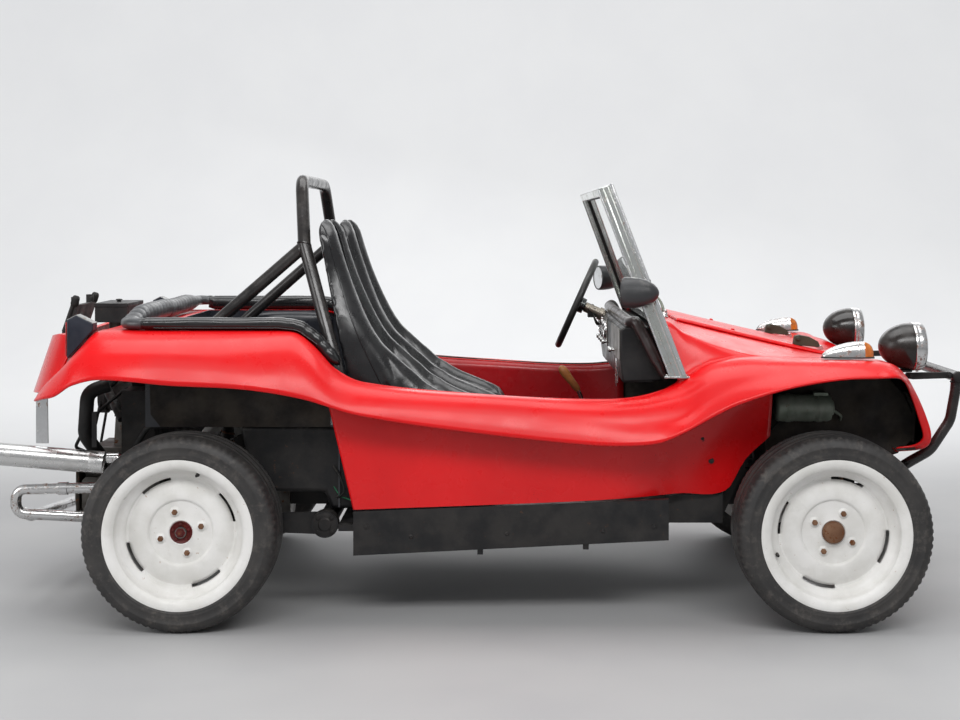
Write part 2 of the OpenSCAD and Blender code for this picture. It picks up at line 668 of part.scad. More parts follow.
module cockpit_levers() {
    color("saddlebrown") car() {
        // Gear lever and hand brake on the tunnel.
        bent_rod([[seat_x + 830, 0, 420.3], [seat_x + 830, 0, 450], [seat_x + 780, 0, 640], [seat_x + 715, 0, 744]], 22);
        rod([seat_x + 600, 0, 436], [seat_x + 420, 0, 500], 24);
        translate([seat_x + 560, -20, 420.3]) cube([90, 40, 22]);
    }
    color("black") car() for (y = [180, 270, 360])
        side_plate([[sx(1600), 300.3], [sx(1600) + 14, 300.3], [sx(1640) + 10, 420], [sx(1640) - 20, 430]], y, y + 50);
}

// --- Seats ---
// Side outline of a bucket seat, from its rear foot up and round to the front.
bolster_line = [
    [80, 420], [-94, 1225], [-80, 1262], [-58, 1266], [-38, 1247], [-15, 1164], [14, 1076], [44, 1002],
    [75, 934], [118, 865], [186, 807], [268, 739], [320, 710], [420, 675], [500, 645], [522, 605], [500, 420]
];
middle_line = [
    [80, 420], [-94, 1225], [-80, 1250], [-62, 1250], [-20, 1080], [40, 860], [110, 660], [170, 588],
    [300, 578], [495, 625], [515, 600], [500, 420]
];
module bucket_seat(side) {
    y = side * seat_y;
    bolster_w = seat_w * 0.17;
    color("black") car() translate([seat_x, 0, 0]) {
        side_plate(middle_line, y - seat_w / 2 + 1, y + seat_w / 2 - 1);
        side_plate(bolster_line, y - seat_w / 2, y - seat_w / 2 + bolster_w);
        side_plate(bolster_line, y + seat_w / 2 - bolster_w, y + seat_w / 2);
    }
}
module right_seat() bucket_seat(right);
module left_seat() bucket_seat(left);

// --- Rear tub, bench and coaming ---
tub_half = sy(520) - seat_gap;
tub_rear = -150 + seat_gap;
tub_floor = 600;
tub_front = sx(470) - seat_gap;
module rear_tub() {
    color("black") car() {
        both() side_plate([[tub_rear, deck_z], [sx(290), deck_z], [sx(400), 850], [sx(400), 600], [tub_rear, 600]],
            tub_half - shell_t, tub_half);
        translate([tub_rear, -tub_half, tub_floor]) cube([shell_t, 2 * tub_half, deck_z - tub_floor]);
        translate([tub_rear, -tub_half, tub_floor]) cube([tub_front - tub_rear, 2 * tub_half, shell_t]);
        translate([tub_front - shell_t, -tub_half, 345]) cube([shell_t, 2 * tub_half, tub_floor - 345 + 1]);
    }
}
module rear_bench() {
    x = tub_rear + shell_t + seat_gap;
    z = tub_floor + shell_t + seat_gap;
    color("midnightblue") car()
        side_plate([[x, z], [x, 890], [x + 50, 895], [x + 110, 740], [x + 390, 720], [x + 400, z]], -410, 410);
}
coaming_s = [for (s = [290 : 23 : 405]) s];
module rear_coaming() {
    z = deck_z + seat_gap;
    low = [for (s = coaming_s) [sx(s), guide(rim_line, s)[2] + (s > 300 ? 4 : 0.3)]];
    high = [for (k = [len(coaming_s) - 1 : -1 : 0]) low[k] + [8, 58]];
    color("black") car() {
        both() side_plate(concat([[-236, z]], low, high, [[-236, z + 60]]), sy(532), sy(590));
        translate([-236, -sy(560), z]) cube([80, 2 * sy(560), 60]);
    }
}

// --- Roll bar ---
roll_top = 1410;
module roll_bar() {
    leg = [
        [seat_x + 80, 548, floor_z + seat_gap], [seat_x + 80, 548, 380], [seat_x - 16, 557, 790],
        [seat_x - 137, 420, 1180], [seat_x - 158, 320, roll_top - roll_d / 2]
    ];
    wall_x = tub_rear + shell_t + seat_gap;
    color("black") car() {
        both() {
            bent_rod(leg, roll_d);
            translate(leg[4]) sphere(d = roll_d + 1);
            bent_rod([[seat_x - 137, 420, 1180], [wall_x + 60, 452, 800], [wall_x, 452, 800]], roll_d - 4);
        }
        rod(leg[4], [leg[4][0], -leg[4][1], leg[4][2]], roll_d);
    }
}

// --- Bumper, lamps and fittings ---
bumper_x = wheelbase + front_overhang - bumper_d / 2;
module front_bumper() {
    color("black") car() {
        rod([bumper_x, -430, 748], [bumper_x, 430, 748], bumper_d);
        both() bent_rod([
            [bumper_x, 400, 748], [bumper_x - 4, 400, 700], [bumper_x - 21, 400, 606], [bumper_x - 86, 400, 508],
            [bumper_x - 160, 395, 465], [wheelbase + 210, 330, beam_high],
            [sx(beam_x) + 25 + seat_gap, 330, beam_high]
        ], bumper_d - 2);
    }
}
module headlamps() {
    r = lamp_d / 2;
    color("black") car() both() {
        translate([wheelbase + 206, sy(lamp_y), 848]) rotate([0, 90, 0]) rotate_extrude($fn = 96)
            polygon(concat([for (a = [0 : 10 : 90]) [r * sin(a), 106 - 106 * cos(a)]],
                [[r, 140], [r - 8, 146], [0, 147]]));
        translate([lamp_stalk_x, sy(lamp_y), lamp_seat_z + seat_gap]) cylinder(h = 40, d = 24);
    }
}
module indicators() {
    color("silver") car() both() translate([sx(2064), sy(600), indicator_seat_z + seat_gap])
        side_plate([[-80, 0], [-70, 10], [-20, 36], [20, 48], [62, 50], [81, 44], [78, 0]], -26, 26);
}
module tail_lamps() {
    color("black") car() both()
        side_plate([[-374, 822], [-374, 948], [-345, 962], [-291, 936], [-291, 913.5]], sy(556), sy(610));
}
plate_lean = 18.8;
module plate_bracket() {
    color("black") car() {
        both() {
            bent_rod([[-521, 124, 864.2], [-521, 124, 878], [-491, 124, 966]], 16);
            rod([-493, 95, 955], [-493, 95, 992], 26);
        }
        translate([-514, 0, 880]) rotate([0, plate_lean, 0]) difference() {
            translate([0, -126, 0]) cube([8, 252, 92]);
            for (y = [-plate_hole_pitch / 2, plate_hole_pitch / 2])
                translate([-1, y, 50]) rotate([0, 90, 0]) cylinder(h = 10, d = plate_hole_d);
        }
    }
}
mirror_d = 96;
module door_mirrors() {
    color("black") both() {
        car() rod([screen_x - 183, sy(642), 1032], [screen_x - 70, sy(642), 1032], mirror_d);
        car() rod([screen_x - 104, half_width_at(300) + 2.5, 1030], [screen_x - 108, sy(600), 1030], 14);
    }
}
module fuel_tank() {
    color("dimgray") car() translate([sx(1850), -330, tank_z]) cube([sx(2080) - sx(1850), 660, 180]);
}

floor_pan();
body_shell();
side_boxes();
front_beam();
shock_absorbers();
rear_suspension();
gearbox();
engine();
fan_housing();
air_cleaner();
exhaust_header();
tail_silencer();
bonnet_lid();
windscreen_frame();
windscreen_glass();
wipers();
dashboard();
steering_column();
steering_wheel();
cockpit_levers();
right_seat();
left_seat();
rear_tub();
rear_bench();
rear_coaming();
roll_bar();
front_bumper();
headlamps();
indicators();
tail_lamps();
plate_bracket();
door_mirrors();
fuel_tank();
right_knuckle();
left_knuckle();
front_right_tyre();
front_left_tyre();
rear_right_tyre();
rear_left_tyre();
front_right_rim();
front_left_rim();
rear_right_rim();
rear_left_rim();
front_right_drum();
front_left_drum();
rear_right_drum();
rear_left_drum();
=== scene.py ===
import bpy, bmesh, math, random
from mathutils import Vector, Matrix, noise


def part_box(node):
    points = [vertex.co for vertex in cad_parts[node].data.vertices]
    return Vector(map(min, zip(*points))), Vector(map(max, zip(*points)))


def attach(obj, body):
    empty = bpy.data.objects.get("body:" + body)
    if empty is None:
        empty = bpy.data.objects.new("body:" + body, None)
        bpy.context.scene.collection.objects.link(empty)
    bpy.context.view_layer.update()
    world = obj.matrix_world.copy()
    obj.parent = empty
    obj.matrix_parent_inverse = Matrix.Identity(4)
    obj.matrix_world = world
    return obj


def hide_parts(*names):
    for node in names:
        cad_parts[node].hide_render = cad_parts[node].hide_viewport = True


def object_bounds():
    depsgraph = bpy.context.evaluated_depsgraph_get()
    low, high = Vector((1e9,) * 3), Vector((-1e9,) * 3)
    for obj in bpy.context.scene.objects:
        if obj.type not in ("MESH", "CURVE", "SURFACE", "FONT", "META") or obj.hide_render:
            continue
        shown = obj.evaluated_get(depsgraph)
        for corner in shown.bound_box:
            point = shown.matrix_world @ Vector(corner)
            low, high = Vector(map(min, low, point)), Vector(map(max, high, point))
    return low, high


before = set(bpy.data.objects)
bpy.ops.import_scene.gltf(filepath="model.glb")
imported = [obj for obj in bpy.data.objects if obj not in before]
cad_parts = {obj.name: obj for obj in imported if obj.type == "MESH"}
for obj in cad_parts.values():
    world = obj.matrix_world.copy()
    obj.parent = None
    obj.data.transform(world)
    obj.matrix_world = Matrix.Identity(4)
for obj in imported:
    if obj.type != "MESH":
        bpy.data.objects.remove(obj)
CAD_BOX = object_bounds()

scene = bpy.context.scene
random.seed(7)

# ---------------------------------------------------------------- places
# Millimetres from the rear axle line (x), the middle of the car (y) and the floor (z).
tyre_lo, tyre_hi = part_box("rear_right_tyre")
X0 = (tyre_lo.x + tyre_hi.x) / 2


def P(x, y, z):
    return Vector((x / 1000 + X0, y / 1000, z / 1000))


# ---------------------------------------------------------------- materials
class Nodes:
    def __init__(self, name):
        self.mat = bpy.data.materials.new(name)
        self.mat.use_nodes = True
        self.tree = self.mat.node_tree
        self.bsdf = self.tree.nodes["Principled BSDF"]
        self.coord = self.add("ShaderNodeTexCoord").outputs["Object"]

    def add(self, kind, **values):
        n = self.tree.nodes.new(kind)
        for key, v in values.items():
            setattr(n, key, v)
        return n

    def link(self, a, b):
        self.tree.links.new(a, b)

    def put(self, socket, value):
        if isinstance(value, bpy.types.NodeSocket):
            self.link(value, socket)
        elif isinstance(value, tuple) and len(value) == 3 and socket.type == "RGBA":
            socket.default_value = (*value, 1)
        else:
            socket.default_value = value

    def noise(self, scale, detail=4, rough=0.55, stretch=None, kind="ShaderNodeTexNoise"):
        n = self.add(kind)
        n.inputs["Scale"].default_value = scale
        if kind == "ShaderNodeTexNoise":
            n.inputs["Detail"].default_value = detail
            n.inputs["Roughness"].default_value = rough
        coord = self.coord
        if stretch:
            m = self.add("ShaderNodeMapping")
            m.inputs["Scale"].default_value = stretch
            self.link(self.coord, m.inputs["Vector"])
            coord = m.outputs[0]
        self.link(coord, n.inputs["Vector"])
        return n.outputs["Distance" if kind == "ShaderNodeTexVoronoi" else 0]

    def ramp(self, value, low, high, a=0.0, b=1.0):
        n = self.add("ShaderNodeMapRange")
        n.interpolation_type = "SMOOTHSTEP"
        for k, v in zip(("From Min", "From Max", "To Min", "To Max"), (low, high, a, b)):
            n.inputs[k].default_value = v
        self.link(value, n.inputs["Value"])
        return n.outputs["Result"]

    def math(self, kind, a, b=0.0):
        n = self.add("ShaderNodeMath", operation=kind)
        self.put(n.inputs[0], a)
        self.put(n.inputs[1], b)
        return n.outputs[0]

    def mix(self, fac, a, b):
        n = self.add("ShaderNodeMix", data_type="RGBA")
        self.put(n.inputs["Factor"], fac)
        self.put(n.inputs[6], a)
        self.put(n.inputs[7], b)
        return n.outputs[2]

    def axis(self, index):
        n = self.add("ShaderNodeSeparateXYZ")
        self.link(self.coord, n.inputs[0])
        return n.outputs[index]

    def upward(self, low=0.3, high=0.95):
        n = self.add("ShaderNodeNewGeometry")
        s = self.add("ShaderNodeSeparateXYZ")
        self.link(n.outputs["Normal"], s.inputs[0])
        return self.ramp(s.outputs[2], low, high)

    def bump(self, height, strength, distance, after=None):
        n = self.add("ShaderNodeBump")
        n.inputs["Strength"].default_value = strength
        n.inputs["Distance"].default_value = distance
        self.link(height, n.inputs["Height"])
        if after is not None:
            self.link(after, n.inputs["Normal"])
        return n.outputs["Normal"]

    def finish(self, **sockets):
        for key, v in sockets.items():
            self.put(self.bsdf.inputs[key.replace("_", " ")], v)
        return self.mat


def gelcoat(name, a, b, dust=0.05, specks=0.0, coat=0.25):
    m = Nodes(name)
    base = m.mix(m.ramp(m.noise(2.2, 3), 0.35, 0.7), a, b)
    film = m.math("MULTIPLY", m.ramp(m.noise(38, 6, 0.65), 0.5, 0.75), m.ramp(m.noise(3.1), 0.4, 0.65))
    base = m.mix(m.math("MULTIPLY", film, dust), base, (0.42, 0.30, 0.26))
    if specks:
        dots = m.ramp(m.noise(260, 2, 0.5), 0.70, 0.76)
        patch = m.ramp(m.noise(4.5, 3), 0.42, 0.62)
        base = m.mix(m.math("MULTIPLY", m.math("MULTIPLY", dots, patch), specks), base, (0.03, 0.006, 0.006))
    scratch = m.ramp(m.noise(30, 6, 0.7, (1, 1, 9)), 0.62, 0.72)
    rough = m.math("ADD", m.ramp(m.noise(9, 5), 0.3, 0.8, 0.24, 0.42), m.math("MULTIPLY", scratch, 0.10))
    wave = m.bump(m.noise(7, 2), 0.10, 0.004)
    skin = m.bump(m.noise(420, 2), 0.05, 0.0006, wave)
    return m.finish(Base_Color=base, Roughness=rough, Normal=skin, Coat_Weight=coat, Coat_Roughness=0.12,
        Specular_IOR_Level=0.28)


def painted(name, a, b, rough=0.5, rust=0.0, rust_color=(0.16, 0.055, 0.02), dust=0.2, grain=240, bump=0.15,
            metal=0.0, dust_color=(0.30, 0.27, 0.24), spec=0.3):
    m = Nodes(name)
    base = m.mix(m.ramp(m.noise(11, 5), 0.35, 0.7), a, b)
    grime = m.math("MULTIPLY", m.ramp(m.noise(24, 6, 0.7), 0.45, 0.75), m.upward(-0.2, 1.0))
    base = m.mix(m.math("MULTIPLY", grime, dust), base, dust_color)
    r = m.ramp(m.noise(18, 6), 0.3, 0.75, rough - 0.12, rough + 0.14)
    mask = m.ramp(m.noise(46, 8, 0.72), 0.665 - 0.15 * rust, 0.70 - 0.12 * rust)
    if rust:
        base = m.mix(m.math("MULTIPLY", mask, min(1.0, 0.5 + rust)), base, rust_color)
        r = m.math("ADD", r, m.math("MULTIPLY", mask, 0.3))
    h = m.math("ADD", m.noise(grain, 3), m.math("MULTIPLY", mask, 0.6 * rust))
    return m.finish(Base_Color=base, Roughness=r, Metallic=metal, Normal=m.bump(h, bump, 0.0012),
        Specular_IOR_Level=spec)


def vinyl(name, a, b, rough=0.3, grain=900, coat=0.25, dust=0.15):
    m = Nodes(name)
    base = m.mix(m.ramp(m.noise(6, 4), 0.3, 0.7), a, b)
    base = m.mix(m.math("MULTIPLY", m.ramp(m.noise(15, 6, 0.7), 0.5, 0.8), dust), base, (0.16, 0.15, 0.14))
    r = m.ramp(m.noise(14, 5), 0.3, 0.75, rough - 0.08, rough + 0.14)
    crease = m.ramp(m.noise(26, 5, 0.6, (1, 2.2, 0.6)), 0.25, 0.75)
    soft = m.bump(crease, 0.10, 0.004)
    skin = m.bump(m.noise(grain, 2, 0.5, None, "ShaderNodeTexVoronoi"), 0.12, 0.0004, soft)
    return m.finish(Base_Color=base, Roughness=r, Normal=skin, Coat_Weight=coat, Coat_Roughness=0.18)


def chromed(name, tint=(0.72, 0.73, 0.74), rough=0.12, rust=0.6,
    pit=70, film=(0.36, 0.33, 0.29), filmed=0.35):
    m = Nodes(name)
    pits = m.ramp(m.noise(pit, 8, 0.75), 0.62 - 0.1 * rust, 0.66 - 0.07 * rust)
    haze = m.ramp(m.noise(16, 6, 0.7), 0.4, 0.75)
    base = m.mix(m.math("MULTIPLY", haze, filmed), tint, film)
    base = m.mix(m.math("MULTIPLY", pits, 0.9), base, (0.13, 0.06, 0.03))
    r = m.math("ADD", m.ramp(haze, 0, 1, rough, rough + 0.16), m.math("MULTIPLY", pits, 0.4))
    metal = m.math("SUBTRACT", 1.0, m.math("MULTIPLY", pits, 0.7))
    return m.finish(Base_Color=base, Roughness=r, Metallic=metal, Normal=m.bump(pits, 0.2, 0.0008))


def plain_lens(name, color, rough=0.12):
    m = Nodes(name)
    base = m.mix(m.ramp(m.noise(60, 4), 0.4, 0.7), color, tuple(c * 0.6 for c in color))
    ribs = m.noise(1, 0, 0.5, (1, 420, 1))
    return m.finish(Base_Color=base, Roughness=rough, Normal=m.bump(ribs, 0.25, 0.001), Coat_Weight=0.8,
                    Coat_Roughness=0.05, Transmission_Weight=0.25)


def glass(name):
    m = Nodes(name)
    return m.finish(Base_Color=(0.93, 0.97, 0.95), Roughness=m.ramp(m.noise(20, 5), 0.4, 0.8, 0.0, 0.05),
                    Transmission_Weight=1.0, IOR=1.45)


RED = gelcoat("red_gelcoat", (0.68, 0.004, 0.006), (0.61, 0.003, 0.005), dust=0.02, coat=0.12)
# Darker copy of the red gelcoat for the cockpit's inside faces: the darker red is painted shade, and the light
# film on it is dust.
RED_IN_SHADED = gelcoat("red_gelcoat_inner_painted_shade", (0.42, 0.006, 0.010), (0.32, 0.005, 0.008), dust=0.12, coat=0.2)
RED_LOW = gelcoat("red_gelcoat_side", (0.70, 0.008, 0.010),
    (0.60, 0.006, 0.008), dust=0.03, specks=0.8, coat=0.2)
BLACK_PAINT = painted("black_paint", (0.012, 0.012, 0.013), (0.022, 0.021, 0.021), rough=0.42, dust=0.25)
BLACK_WORN = painted("black_paint_worn", (0.010, 0.010, 0.011), (0.024, 0.022, 0.021), rough=0.5, rust=0.2,
    rust_color=(0.075, 0.038, 0.022), dust=0.3)
BLACK_TUBE = painted("black_tube", (0.012, 0.011, 0.011), (0.026, 0.023, 0.022), rough=0.24, rust=0.1,
    rust_color=(0.09, 0.05, 0.03), dust=0.2, spec=0.5)
BLACK_METAL = painted("blackened_metal", (0.014, 0.013, 0.013), (0.030, 0.026, 0.024), rough=0.6, rust=0.3,
    rust_color=(0.075, 0.038, 0.022), dust=0.35)
RUBBER = painted("rubber", (0.012, 0.012, 0.012), (0.020, 0.019, 0.018), rough=0.62, dust=0.3, grain=500)
WHITE_STEEL = painted("white_wheel_paint", (0.76, 0.75, 0.73), (0.66, 0.65, 0.62), rough=0.38, rust=0.12,
                      rust_color=(0.30, 0.14, 0.06), dust=0.12, grain=160)
RUSTY = painted("rusty_steel", (0.13, 0.060, 0.032), (0.22, 0.12, 0.07),
    rough=0.75, rust=0.8, metal=0.3, grain=320, bump=0.5)
DARK_RED = painted("dark_red_hub", (0.10, 0.008, 0.008), (0.05, 0.008, 0.006), rough=0.55, rust=0.5, bump=0.4)
CAST = painted("engine_metal", (0.16, 0.155, 0.145), (0.07, 0.062, 0.055),
    rough=0.55, rust=0.4, metal=0.7, dust=0.4, bump=0.4)
CHROME_OLD = chromed("old_chrome_pipe", (0.66, 0.66, 0.66), 0.20, 0.75, 50)
ALU = chromed("polished_aluminium", (0.74, 0.75, 0.76), 0.20, 0.15, 40)
UNDERSIDE = painted("bare_laminate", (0.016, 0.013, 0.012),
    (0.045, 0.036, 0.028), rough=0.75, dust=0.5, grain=150, bump=0.4)
VINYL = vinyl("black_vinyl", (0.004, 0.004, 0.0045), (0.008, 0.008, 0.009), rough=0.27, coat=0.3, dust=0.04)
VINYL_GREY = vinyl("grey_vinyl", (0.030, 0.032, 0.036), (0.060, 0.062, 0.066), rough=0.42, dust=0.4)
VINYL_BLUE = vinyl("blue_black_vinyl", (0.007, 0.008, 0.013), (0.016, 0.018, 0.025), rough=0.34, dust=0.2)
ORANGE = plain_lens("orange_lens", (0.75, 0.22, 0.02))
RED_LENS = plain_lens("red_lens", (0.45, 0.012, 0.012))
GLASS = glass("screen_glass")
WOOD = painted("wooden_grip", (0.34, 0.13, 0.04), (0.17, 0.055, 0.018), rough=0.35, dust=0.1, grain=60)
GREEN = painted("old_green_paint", (0.16, 0.19, 0.15),
    (0.26, 0.28, 0.24), rough=0.5, rust=0.3, metal=0.4, dust=0.4)

SCREEN_METAL = chromed("screen_metal", (0.66, 0.68, 0.66), 0.16,
    0.25, 46, film=(0.30, 0.31, 0.24), filmed=0.55)
MIRROR_GREY = painted("mirror_grey", (0.035, 0.036, 0.038),
    (0.055, 0.055, 0.056), rough=0.4, dust=0.35, grain=420)
DASH_VINYL = vinyl("dash_vinyl", (0.018, 0.010, 0.010), (0.030, 0.017, 0.016), rough=0.34, dust=0.35)
DASH_METAL = painted("dash_metal", (0.10, 0.095, 0.085),
    (0.20, 0.185, 0.16), rough=0.4, metal=0.6, rust=0.25, dust=0.3)
DIAL = painted("dial_face", (0.010, 0.010, 0.011), (0.018, 0.018, 0.018), rough=0.3, dust=0.1)
GRIP = vinyl("rim_grip", (0.012, 0.012, 0.012), (0.022, 0.021, 0.020), rough=0.42, grain=1400, coat=0.1)
COLUMN_METAL = painted("bare_column", (0.20, 0.17, 0.14),
    (0.32, 0.28, 0.24), rough=0.38, metal=0.8, rust=0.3, dust=0.2)

BLACK_SATIN = painted("satin_black", (0.010, 0.008, 0.007), (0.017, 0.014, 0.012), rough=0.26, dust=0.08,
    grain=90, bump=0.04, spec=0.5)
CLEAR_LENS = plain_lens("clear_lens", (0.72, 0.75, 0.76))
TAIL_BLUE = painted("tail_housing", (0.012, 0.015, 0.024), (0.024, 0.028, 0.040), rough=0.4, dust=0.3)
# Light grey for the tail lamp tops, far brighter than the housings: the grey is a painted highlight where the
# tops catch the light; its rust and dust are wear.
TAIL_TOP_HIGHLIGHT = painted("grey_metal_painted_highlight", (0.34, 0.34, 0.34),
    (0.24, 0.24, 0.235), rough=0.45, rust=0.3, metal=0.5, dust=0.3)
TINWARE = painted("dirty_tinware", (0.060, 0.045, 0.032),
    (0.030, 0.026, 0.022), rough=0.6, rust=0.6, metal=0.2, dust=0.5)
BRUSHED = chromed("brushed_steel", (0.66, 0.66, 0.655), 0.26, 0.15, 60)
MOSSY = painted("mossy_rubber", (0.020, 0.022, 0.014), (0.060, 0.062, 0.040), rough=0.6, dust=0.4, grain=300)
WIRE_GREEN = painted("green_wire", (0.02, 0.16, 0.07), (0.015, 0.10, 0.05), rough=0.45, dust=0.2)


# ---------------------------------------------------------------- mesh helpers
def piece(name, verts, faces, mat, body="chassis", bevel=0.0,
    solid=0.0, subdiv=0, angle=38, offset=-1, fix=True):
    me = bpy.data.meshes.new(name)
    me.from_pydata([tuple(v) for v in verts], [], [tuple(f) for f in faces])
    if fix:
        bm = bmesh.new()
        bm.from_mesh(me)
        bmesh.ops.remove_doubles(bm, verts=bm.verts, dist=0.00002)
        bmesh.ops.recalc_face_normals(bm, faces=bm.faces)
        bm.to_mesh(me)
        bm.free()
    me.polygons.foreach_set("use_smooth", [True] * len(me.polygons))
    me.set_sharp_from_angle(angle=math.radians(angle))
    me.materials.append(mat)
    ob = bpy.data.objects.new(name, me)
    scene.collection.objects.link(ob)
    if solid:
        s = ob.modifiers.new("thickness", "SOLIDIFY")
        s.thickness, s.offset, s.use_even_offset = solid / 1000, offset, False
    if bevel:
        b = ob.modifiers.new("edge", "BEVEL")
        b.width, b.segments, b.limit_method, b.angle_limit = bevel / 1000, 3, "ANGLE", math.radians(30)
        b.use_clamp_overlap = True
    if subdiv:
        d = ob.modifiers.new("smooth", "SUBSURF")
        d.levels = d.render_levels = subdiv
    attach(ob, body)
    return ob


def grid_faces(rows, cols, wrap=False, keep=None, base=0):
    out = []
    for i in range(rows - 1):
        for j in range(cols if wrap else cols - 1):
            if keep is None or keep(i, j):
                k = (j + 1) % cols
                out.append((base + i * cols + j, base + i * cols + k, base + (i + 1) * cols + k,
                    base + (i + 1) * cols + j))
    return out


def surface(name, rows, mat, **kw):
    keep = kw.pop("keep", None)
    return piece(name, [p for r in rows for p in r],
        grid_faces(len(rows), len(rows[0]), keep=keep), mat, **kw)


def spline(points, per=6, closed=False, tension=0.5):
    pts = [Vector(p) for p in points]
    n = len(pts)
    out = []
    for i in range(n if closed else n - 1):
        a = pts[(i - 1) % n] if closed or i else pts[0] * 2 - pts[1]
        b, c = pts[i], pts[(i + 1) % n]
        d = pts[(i + 2) % n] if closed or i < n - 2 else pts[-1] * 2 - pts[-2]
        la, lb, lc = (b - a).length ** 0.5, (c - b).length ** 0.5, (d - c).length ** 0.5
        la, lb, lc = max(la, 1e-6), max(lb, 1e-6), max(lc, 1e-6)
        m1 = ((b - a) / la - (c - a) / (la + lb) + (c - b) / lb) * lb
        m2 = ((c - b) / lb - (d - b) / (lb + lc) + (d - c) / lc) * lb
        m1, m2 = m1 * tension * 2, m2 * tension * 2
        for k in range(per):
            t = k / per
            out.append(b * (1 + 2 * t) * (1 - t) ** 2 + c * t * t * (3 - 2 * t)
                       + m1 * t * (1 - t) ** 2 - m2 * t * t * (1 - t))
    if not closed:
        out.append(pts[-1])
    return out


def frames(path, closed=False):
    n = len(path)
    tang = []
    for i in range(n):
        a = path[(i - 1) % n] if closed or i else path[0]
        b = path[(i + 1) % n] if closed or i < n - 1 else path[-1]
        tang.append((b - a).normalized())
    up = Vector((0, 0, 1)) if abs(tang[0].z) < 0.9 else Vector((0, 1, 0))
    side = tang[0].cross(up).normalized()
    out = []
    for t in tang:
        side = (side - t * side.dot(t)).normalized()
        out.append((t, side, t.cross(side)))
    return out


def tube_mesh(path, radius, sides=16, closed=False, caps=True):
    """Vertices and faces of a round bar; radius is a number or a function of the share of the length."""
    fr = frames(path, closed)
    verts = []
    n = len(path)
    for i, (p, (t, a, b)) in enumerate(zip(path, fr)):
        r = radius(i / (n - 1)) if callable(radius) else radius
        for k in range(sides):
            w = 2 * math.pi * k / sides
            verts.append(p + (a * math.cos(w) + b * math.sin(w)) * r / 1000)
    faces = grid_faces(n, sides, wrap=True)
    if closed:
        faces += [((n - 1) * sides + k, (n - 1) * sides + (k + 1) % sides, (k + 1) % sides,
            k) for k in range(sides)]
    elif caps:
        faces += [tuple(range(sides)), tuple((n - 1) * sides + k for k in range(sides))]
    return verts, faces


def turned_mesh(profile, centre, axis, steps=64, start=0.0, end=2 * math.pi):
    """profile is [(radius, along)] in mm, turned about axis through centre."""
    axis = Vector(axis).normalized()
    a = axis.orthogonal().normalized() if abs(axis.y) < 0.9 else Vector((1, 0, 0))
    b = axis.cross(a)
    full = abs(end - start - 2 * math.pi) < 1e-6
    n = steps if full else steps + 1
    verts = []
    for r, h in profile:
        for k in range(n):
            w = start + (end - start) * k / steps
            verts.append(centre + (a * math.cos(w) + b * math.sin(w)) * r / 1000 + axis * h / 1000)
    return verts, grid_faces(len(profile), n, wrap=full)


def turned(name, profile, centre, axis, mat, body="chassis", steps=64, **kw):
    v, f = turned_mesh(profile, centre, axis, steps)
    return piece(name, v, f, mat, body, **kw)


def slab_mesh(points, y0, y1):
    """A plate drawn in X-Z (mm) and set upright between two Y planes."""
    n = len(points)
    verts = [P(x, y0, z) for x, z in points] + [P(x, y1, z) for x, z in points]
    faces = [tuple(range(n)), tuple(range(n, 2 * n))]
    faces += [(k, (k + 1) % n, n + (k + 1) % n, n + k) for k in range(n)]
    return verts, faces


def slab(name, points, y0, y1, mat, body="chassis", bevel=2, **kw):
    v, f = slab_mesh(points, y0, y1)
    return piece(name, v, f, mat, body, bevel=bevel, **kw)


def box_mesh(x0, x1, y0, y1, z0, z1):
    return slab_mesh([(x0, z0), (x1, z0), (x1, z1), (x0, z1)], y0, y1)


def box(name, x0, x1, y0, y1, z0, z1, mat, body="chassis", bevel=3, **kw):
    v, f = box_mesh(x0, x1, y0, y1, z0, z1)
    return piece(name, v, f, mat, body, bevel=bevel, **kw)


def joined(parts):
    verts, faces = [], []
    for v, f in parts:
        k = len(verts)
        verts += list(v)
        faces += [tuple(i + k for i in q) for q in f]
    return verts, faces


def bolt_mesh(centre, axis, r=7, h=5, washer=True):
    parts = []
    if washer:
        parts.append(closed_turn([(0, 0), (r * 1.5, 0), (r * 1.5, 1.6), (0, 1.6)], centre, axis, 20))
    parts.append(closed_turn([(0, 1), (r, 1), (r, h), (r * 0.8, h + 1.2), (0, h + 1.2)], centre, axis, 6))
    return joined(parts)


def closed_turn(profile, centre, axis, steps):
    return turned_mesh(profile, centre, axis, steps)


def mirrored(v, f):
    return [Vector((p.x, -p.y, p.z)) for p in v], [tuple(reversed(q)) for q in f]


